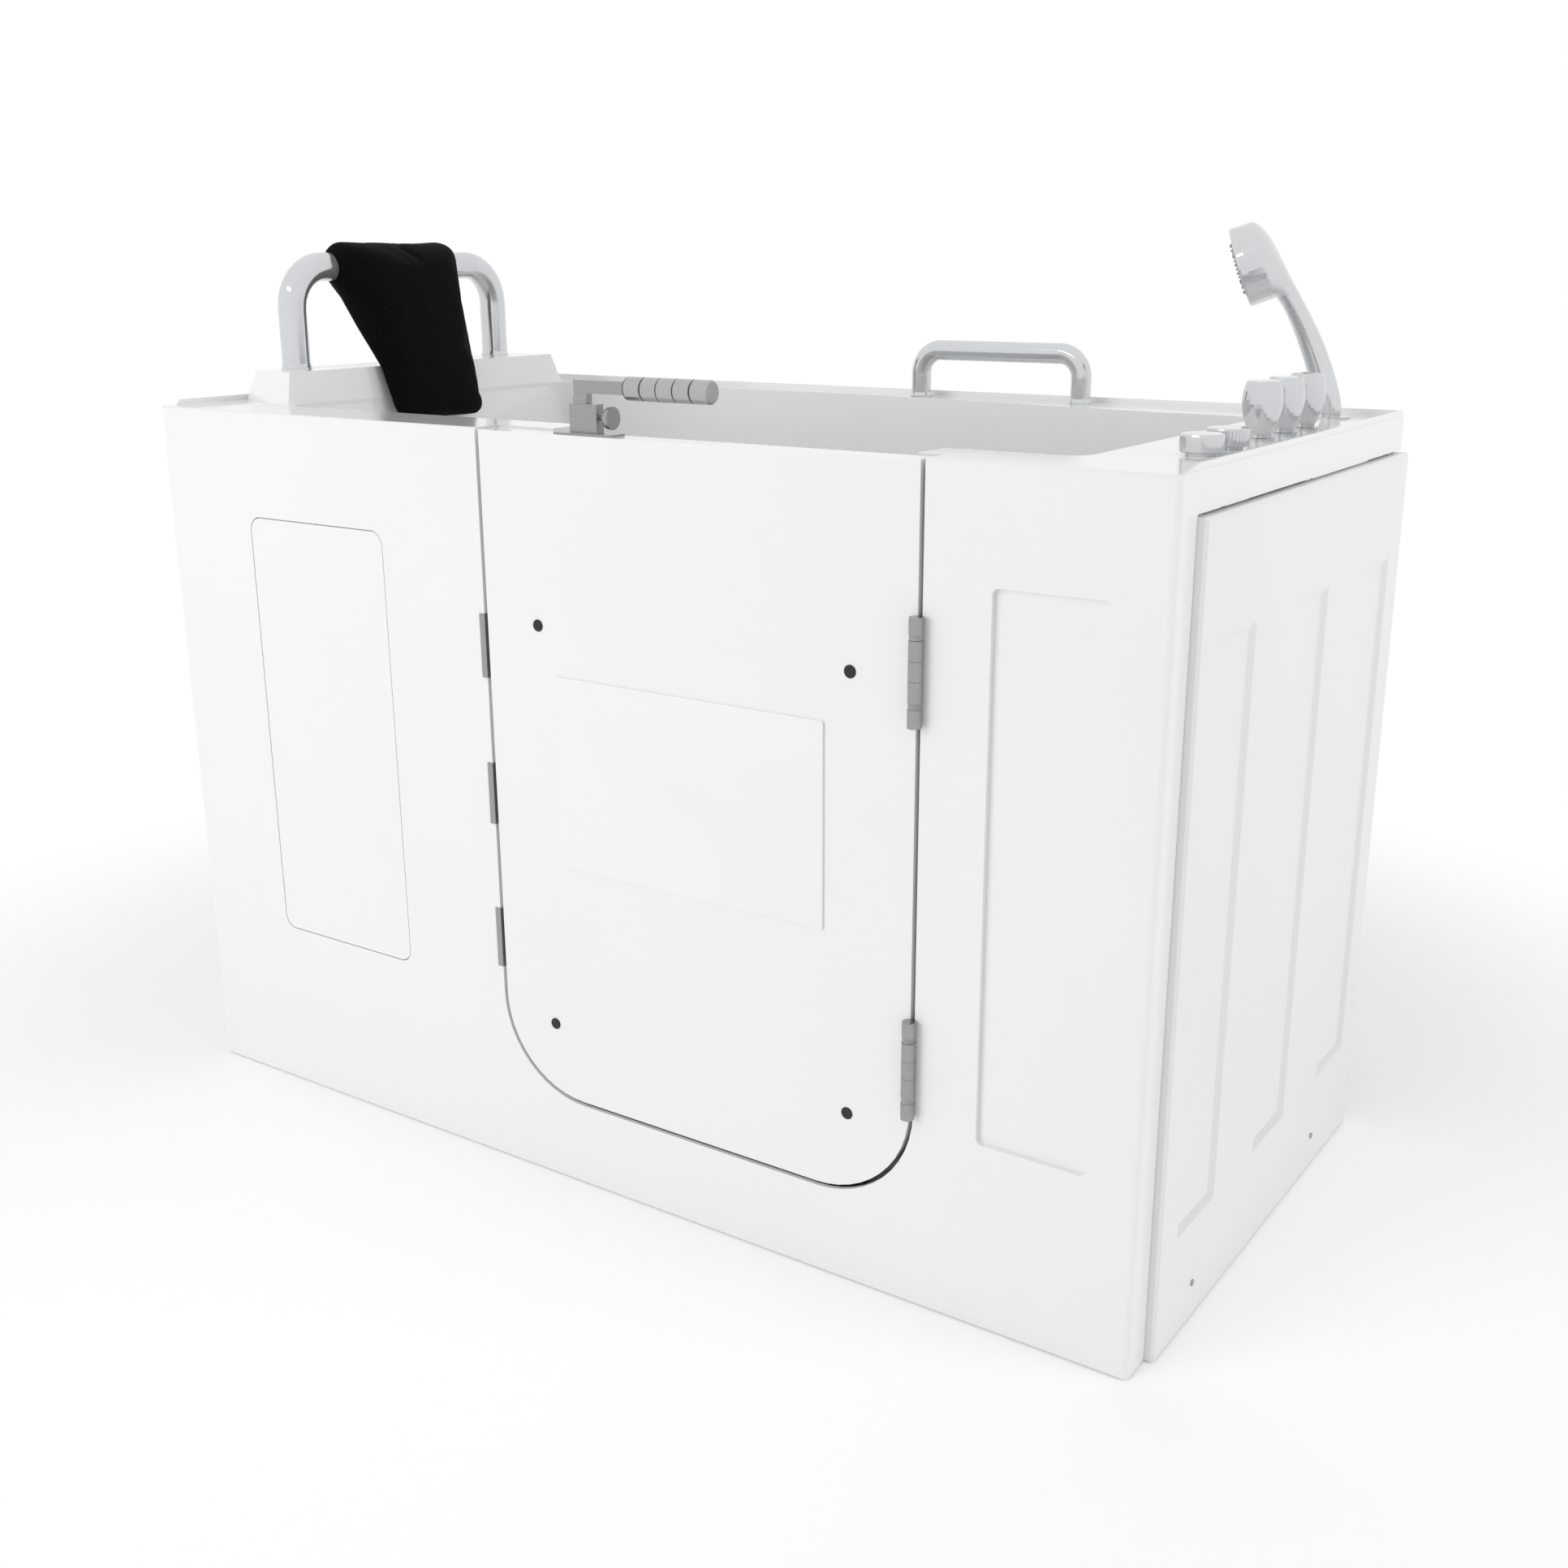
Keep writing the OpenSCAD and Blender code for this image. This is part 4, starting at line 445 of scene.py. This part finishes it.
def mouldedPlastic(name, dark, light, rough=0.45, grainScale=700.0, grain=0.12, m=moulding):
    mat, tree, shader = startFinish(name, light, rough=rough, IOR=1.5)
    flat = stretched(tree, evenly)
    cloud = noiseOf(tree, flat, m["cloudScale"])
    twoTones(tree, shader, cloud, dark, light)
    low, high = (rough * share for share in m["roughShares"])
    tree.links.new(spread(tree, cloud, low, high), shader.inputs["Roughness"])
    height = noiseOf(tree, flat, grainScale, detail=3.0)
    bumps(tree, shader, [(height, grain, m["grainDepth"])])
    return mat


casting = {
    "roughShares": (0.8, 1.25),
    "grainScale": 900.0,
    "grain": 0.1,
    "grainDepth": 0.0004,
}


def castMetal(name, dark, light, rough=0.35, cloudScale=90.0, c=casting):
    mat, tree, shader = startFinish(name, light, metal=1.0, rough=rough)
    flat = stretched(tree, evenly)
    cloud = noiseOf(tree, flat, cloudScale, detail=5.0, rough=0.6)
    twoTones(tree, shader, cloud, dark, light)
    low, high = (rough * share for share in c["roughShares"])
    tree.links.new(spread(tree, cloud, low, high), shader.inputs["Roughness"])
    grain = noiseOf(tree, flat, c["grainScale"], detail=3.0)
    bumps(tree, shader, [(grain, c["grain"], c["grainDepth"])])
    return mat


planks = {
    "tone": (0.5, 0.34, 0.19),
    "dark": (0.36, 0.22, 0.11),
    "light": (0.58, 0.41, 0.24),
    "along": (1.2, 14.0, 14.0),
    "ringScale": 1.6,
    "wander": 5.0,
    "ridge": 0.2,
    "ridgeDepth": 0.0006,
}


def planedWood(name, w):
    mat, tree, shader = startFinish(name, w["tone"], rough=0.6)
    lengthwise = stretched(tree, w["along"])
    rings = addNode(tree, "ShaderNodeTexWave", wave_type="BANDS", bands_direction="Y")
    rings.inputs["Scale"].default_value = w["ringScale"]
    rings.inputs["Distortion"].default_value = w["wander"]
    rings.inputs["Detail"].default_value = 4.0
    tree.links.new(lengthwise, rings.inputs["Vector"])
    twoTones(tree, shader, rings.outputs["Fac"], w["dark"], w["light"], 0.1, 0.9)
    bumps(tree, shader, [(rings.outputs["Fac"], w["ridge"], w["ridgeDepth"])])
    return mat


weave = {
    "dark": (0.0012, 0.0016, 0.0016),
    "light": (0.0042, 0.005, 0.0048),
    "pitch": 0.0021,  # distance between the twill's ribs
    "lean": 50.0,  # degrees that the ribs lean by
    "rough": 0.86,
    "shine": 0.07,
    "sheen": 0.015,
    "wander": 1.2,
    "rib": 0.5,
    "ribDepth": 0.0005,
    "slubStretch": (60.0, 60.0, 16.0),
    "slubScale": 9.0,
    "slub": 0.25,
    "slubDepth": 0.0006,
}


bandSpacing = 0.314  # metres between a wave texture's bands at a scale of 1


def twillFabric(name, w):
    mat, tree, shader = startFinish(
        name, w["light"], rough=w["rough"], Specular_IOR_Level=w["shine"],
        Sheen_Weight=w["sheen"], Sheen_Roughness=0.5)
    coords = addNode(tree, "ShaderNodeTexCoord")
    turn = addNode(tree, "ShaderNodeMapping")
    turn.inputs["Rotation"].default_value = (math.radians(w["lean"]), 0.0, 0.0)
    tree.links.new(coords.outputs["Object"], turn.inputs["Vector"])
    ribs = addNode(tree, "ShaderNodeTexWave", wave_type="BANDS", bands_direction="Y")
    ribs.inputs["Scale"].default_value = bandSpacing / w["pitch"]
    ribs.inputs["Distortion"].default_value = w["wander"]
    ribs.inputs["Detail"].default_value = 2.0
    ribs.inputs["Detail Scale"].default_value = 1.6
    tree.links.new(turn.outputs["Vector"], ribs.inputs["Vector"])
    slubs = noiseOf(tree, stretched(tree, w["slubStretch"]), w["slubScale"], rough=0.6)
    mix = addNode(tree, "ShaderNodeMath", operation="MULTIPLY")
    tree.links.new(ribs.outputs["Fac"], mix.inputs[0])
    tree.links.new(slubs, mix.inputs[1])
    twoTones(tree, shader, mix.outputs[0], w["dark"], w["light"], 0.1, 0.5)
    bumps(tree, shader, [
        (slubs, w["slub"], w["slubDepth"]),
        (ribs.outputs["Fac"], w["rib"], w["ribDepth"]),
    ])
    return mat


barePlate = {**acrylic, "tone": (0.945, 0.945, 0.94)}
endPanelPlastic = {
    **acrylic,
    "tone": (0.9, 0.9, 0.893),
    "shade": (0.89, 0.89, 0.884),
    "rough": (0.3, 0.34),
    "coat": 0.0,
    "peel": 0.004,
}
finishes = {
    "acrylic": glossyAcrylic("whiteAcrylic", acrylic)[0],
    "acrylic_panel": glossyAcrylic("accessPanelAcrylic", acrylic)[0],
    "acrylic_door": glossyAcrylic("doorAcrylic", acrylic)[0],
    "bare_plate": glossyAcrylic("barePlateAcrylic", barePlate)[0],
    "end_panel": glossyAcrylic("endPanelPlastic", endPanelPlastic)[0],
    "steel": brushedSteel("brushedSteel", 0.37, (1.0, 1.0, 14.0)),
    "steel_grip": grooveShadedSteel("brushedGrip", 0.46, grooves),
    "frame_steel": brushedSteel("stiffenerSteel", 0.5, (1.0, 1.0, 8.0), 0.35),
    "zinc_steel": castMetal("zincPlate", grey(0.46), (0.62, 0.62, 0.58), 0.36),
    "chrome": polishedChrome("chromeBars", 0.68),
    "chrome_trim": polishedChrome("chromeControls", 0.66),
    "shower_chrome": polishedChrome("showerChrome", 0.68),
    "nozzle_plastic": mouldedPlastic("nozzlePlastic", grey(0.32), grey(0.38), 0.34),
    "black_plastic": mouldedPlastic("blackCaps", grey(0.006), grey(0.011), 0.42),
    "washer_plastic": mouldedPlastic("washerNylon", grey(0.3), grey(0.36), 0.5),
    "seal_rubber": mouldedPlastic("sealRubber", grey(0.02), grey(0.03), 0.7, 500.0, 0.25),
    "foot_rubber": mouldedPlastic("footRubber", grey(0.02), grey(0.035), 0.75, 420.0, 0.3),
    "cable_sheath": mouldedPlastic("cableSheath", grey(0.025), grey(0.04), 0.55, 600.0, 0.2),
    "valve_brass": castMetal("valveBrass", (0.42, 0.3, 0.12), (0.66, 0.5, 0.24)),
    "supply_brass": castMetal("copperPipe", (0.5, 0.24, 0.12), (0.76, 0.42, 0.25), 0.28, 40.0),
    "waste_plastic": mouldedPlastic("wastePlastic", grey(0.62), grey(0.7), 0.5, 300.0, 0.08),
    "frame_paint": mouldedPlastic(
        "powderCoat", (0.34, 0.345, 0.35), (0.4, 0.405, 0.41), 0.42, 900.0, 0.35),
    "bearer_wood": planedWood("planedBearers", planks),
    "pillow_fabric": twillFabric("blackTwill", weave),
}
nodeFinishes = {
    # the jamb carries painted shade in its rebate behind the door seam
    "door_jamb": seamShadedAcrylic("jambPaintedSeamShade", acrylic, jambSeamShade),
}


def dressNodes():
    slots = {row["node"]: row["material_slot"] for row in frame["record"]["subparts"]}
    for name, obj in nodes.items():
        finish = nodeFinishes.get(name) or finishes[slots[name]]
        if not obj.material_slots:
            obj.data.materials.append(finish)
        for place in obj.material_slots:
            place.material = finish


dressNodes()
print("finishes made:", len(finishes))

edges = {  # how far each moulded piece's corners are rounded off, in metres
    "rim_and_front": 0.004,
    "raised_end": 0.004,
    "basin": 0.004,
    "door_jamb": 0.0012,
    "door_outer_panel": 0.004,
    "door_inner_panel": 0.003,
    "door_plate": 0.0007,
    "access_panel": 0.0007,
    "end_panel_left": 0.0012,
    "end_panel_right": 0.0012,
}


softening = {
    "weld": 0.00002,
    "flatAngle": math.radians(0.4),  # faces that meet flatter than this become one
    "segments": 3,
    "cornerAngle": math.radians(38),  # edges sharper than this are rounded
}


def softenEdges(widths, e=softening):
    done = 0
    for name, width in widths.items():
        obj = nodes.get(name)
        if obj is None:
            continue
        weld = obj.modifiers.new("weld", "WELD")
        weld.merge_threshold = e["weld"]
        flats = obj.modifiers.new("wholeFlats", "DECIMATE")
        flats.decimate_type = "DISSOLVE"
        flats.angle_limit = e["flatAngle"]
        soft = obj.modifiers.new("softEdge", "BEVEL")
        soft.width = width
        soft.segments = e["segments"]
        soft.limit_method = "ANGLE"
        soft.angle_limit = e["cornerAngle"]
        shade = obj.modifiers.new("evenShade", "WEIGHTED_NORMAL")
        shade.keep_sharp = False
        done += 1
    return done


print("edges softened on", softenEdges(edges), "nodes")

pillow = {
    "middleY": 0.0075,  # a little nearer the door than the bar's middle
    "foot": (-0.5627, 0.95),  # its face at the foot, X and Z
    "top": (-0.624, 1.2155),
    "lowWidth": 0.179,
    "topWidth": 0.236,
    "lowThick": 0.024,
    "topThick": 0.094,
    "cornerCut": 0.044,
    "dip": 0.0075,  # how far the middle of its top sinks
    "dipFrom": 0.75,  # share of its height where the dip begins
    "thickFrom": 0.3,  # share of its height where it begins to grow thick
    "thickOver": 0.54,  # share of its height over which it does so
    "widening": 0.8,  # power of the height that its width follows
    "squaring": (0.62, 0.4),  # powers that square its section off, through it and across
    # shares of its height over which corners, foot, top and crown close
    "cornerShare": 0.09,
    "footShare": 0.05,
    "topShare": 0.13,
    "crownShare": 0.3,
    "leastThick": 0.08,  # share of its thickness left at the very ends
    "rings": 40,
    "ringPoints": 48,
    "crown": 0.007,
    "start": 0.001,  # how much smaller it starts than the space it fills
    "voxel": 0.0045,
    "pressure": 4.0,
    "quality": 5,
    "mass": 0.3,
    "frames": 20,
    "most": 0.006,  # furthest that a point may swell
    "barDiameter": 0.041,
    "barX": -0.671,
    "barZ": 1.1705,
    "barLegs": (-0.17935, 0.23365),
    "barBend": 0.06,
    "barSides": 48,
    "barSteps": 12,  # steps round each bend
    "legLength": 0.08,  # how far the rod runs down past each bend
}


def closing(s, edge):
    # 1 in the middle, a quarter round down to 0 over the edge share at both ends
    if s < edge:
        return math.sqrt(max(0.0, 1 - (1 - s / edge) ** 2))
    if s > 1 - edge:
        return math.sqrt(max(0.0, 1 - (1 - (1 - s) / edge) ** 2))
    return 1.0


def swell(a, power):
    return math.copysign(abs(a) ** power, a)


def pillowRing(p, s):
    foot = Vector(p["foot"])
    top = Vector(p["top"])
    up = (top - foot).normalized()
    out = Vector((up[1], -up[0]))
    grown = max(0.0, min(1.0, (s - p["thickFrom"]) / p["thickOver"]))
    thick = p["lowThick"] + (p["topThick"] - p["lowThick"]) * grown
    c = foot + (top - foot) * s - out * thick / 2
    full = p["lowWidth"] + (p["topWidth"] - p["lowWidth"]) * s ** p["widening"]
    wide = full - p["cornerCut"] * (1 - closing(s, p["cornerShare"])) - 2 * p["start"]
    ends = closing(s, p["footShare"] if s < 0.5 else p["topShare"])
    t = (thick - 2 * p["start"]) * max(p["leastThick"], ends) / 2
    dip = p["dip"] * max(0.0, s - p["dipFrom"]) / (1 - p["dipFrom"])
    ring = []
    for k in range(p["ringPoints"]):
        a = 2 * math.pi * k / p["ringPoints"]
        u = swell(math.cos(a), p["squaring"][0])
        v = swell(math.sin(a), p["squaring"][1])
        crown = p["crown"] * u * (1 - v * v) * closing(s, p["crownShare"]) if u > 0 else 0.0
        q = c + out * (t * u + crown)
        ring.append((q[0], p["middleY"] + v * wide / 2, q[1] - dip * (1 - v * v)))
    return ring


def skinned(bm, rows, name):
    # closes a stack of point rings into one mesh
    for low, high in zip(rows, rows[1:]):
        for k in range(len(low)):
            n = (k + 1) % len(low)
            bm.faces.new((low[k], low[n], high[n], high[k]))
    bm.faces.new(list(reversed(rows[0])))
    bm.faces.new(rows[-1])
    bmesh.ops.recalc_face_normals(bm, faces=bm.faces)
    mesh = bpy.data.meshes.new(name)
    bm.to_mesh(mesh)
    bm.free()
    obj = bpy.data.objects.new(name, mesh)
    bpy.context.scene.collection.objects.link(obj)
    return obj


def pillowShell(p):
    bm = bmesh.new()
    rows = []
    for k in range(p["rings"] + 1):
        s = (1 - math.cos(math.pi * k / p["rings"])) / 2
        rows.append([bm.verts.new(q) for q in pillowRing(p, s)])
    return skinned(bm, rows, "head_pillow_cover")


def settle(obj):
    # the mesh as its modifiers leave it, with the modifiers gone
    view = bpy.context.evaluated_depsgraph_get()
    done = bpy.data.meshes.new_from_object(obj.evaluated_get(view))
    old = obj.data
    obj.modifiers.clear()
    obj.data = done
    bpy.data.meshes.remove(old)


def fillPillow(obj, p):
    remesh = obj.modifiers.new("evenGrid", "REMESH")
    remesh.mode = "VOXEL"
    remesh.voxel_size = p["voxel"]
    settle(obj)
    rest = [v.co.copy() for v in obj.data.vertices]
    cloth = obj.modifiers.new("fill", "CLOTH")
    cloth.settings.use_pressure = True
    cloth.settings.uniform_pressure_force = p["pressure"]
    cloth.settings.quality = p["quality"]
    cloth.settings.mass = p["mass"]
    cloth.settings.effector_weights.gravity = 0.0
    cloth.point_cache.frame_start = 1
    cloth.point_cache.frame_end = p["frames"]
    scene = bpy.context.scene
    for number in range(1, p["frames"] + 1):
        scene.frame_set(number)
    settle(obj)
    scene.frame_set(1)
    for vertex, start in zip(obj.data.vertices, rest):
        move = vertex.co - start
        if move.length > p["most"]:
            vertex.co = start + move.normalized() * p["most"]


def barLine(p):
    # the bar's middle line, its two bends included
    r = p["barBend"]
    low, high = p["barLegs"]
    bendZ = p["barZ"] - r
    legZ = bendZ - p["legLength"]
    points = [Vector((p["barX"], low, legZ))]
    for k in range(p["barSteps"] + 1):
        a = math.radians(90 * k / p["barSteps"])
        points.append(Vector((p["barX"], low + r - r * math.cos(a), bendZ + r * math.sin(a))))
    for k in range(p["barSteps"] + 1):
        a = math.radians(90 * k / p["barSteps"])
        points.append(Vector((p["barX"], high - r + r * math.sin(a), bendZ + r * math.cos(a))))
    points.append(Vector((p["barX"], high, legZ)))
    return points


def barTunnel(p):
    # a rod along the bar that cuts its way through the pillow
    points = barLine(p)
    count = p["barSides"]
    radius = p["barDiameter"] / 2
    side = Vector((1.0, 0.0, 0.0))
    bm = bmesh.new()
    rows = []
    for k, point in enumerate(points):
        ahead = (points[min(k + 1, len(points) - 1)] - points[max(k - 1, 0)]).normalized()
        other = ahead.cross(side)
        row = []
        for n in range(count):
            a = 2 * math.pi * n / count
            row.append(bm.verts.new(point + (side * math.cos(a) + other * math.sin(a)) * radius))
        rows.append(row)
    return skinned(bm, rows, "barTunnel")


def makePillow(p):
    cover = pillowShell(p)
    fillPillow(cover, p)
    smooth = cover.modifiers.new("smooth", "SUBSURF")
    smooth.levels = 1
    smooth.render_levels = 1
    settle(cover)
    tunnel = barTunnel(p)
    cut = cover.modifiers.new("tunnel", "BOOLEAN")
    cut.operation = "DIFFERENCE"
    cut.solver = "EXACT"
    cut.object = tunnel
    settle(cover)
    bpy.data.objects.remove(tunnel)
    cover.data.materials.clear()
    cover.data.materials.append(finishes["pillow_fabric"])
    for face in cover.data.polygons:
        face.use_smooth = True
    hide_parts("head_pillow")
    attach(cover, "tub")
    return cover


headPillow = makePillow(pillow)
print("pillow filled:", len(headPillow.data.vertices), "points")
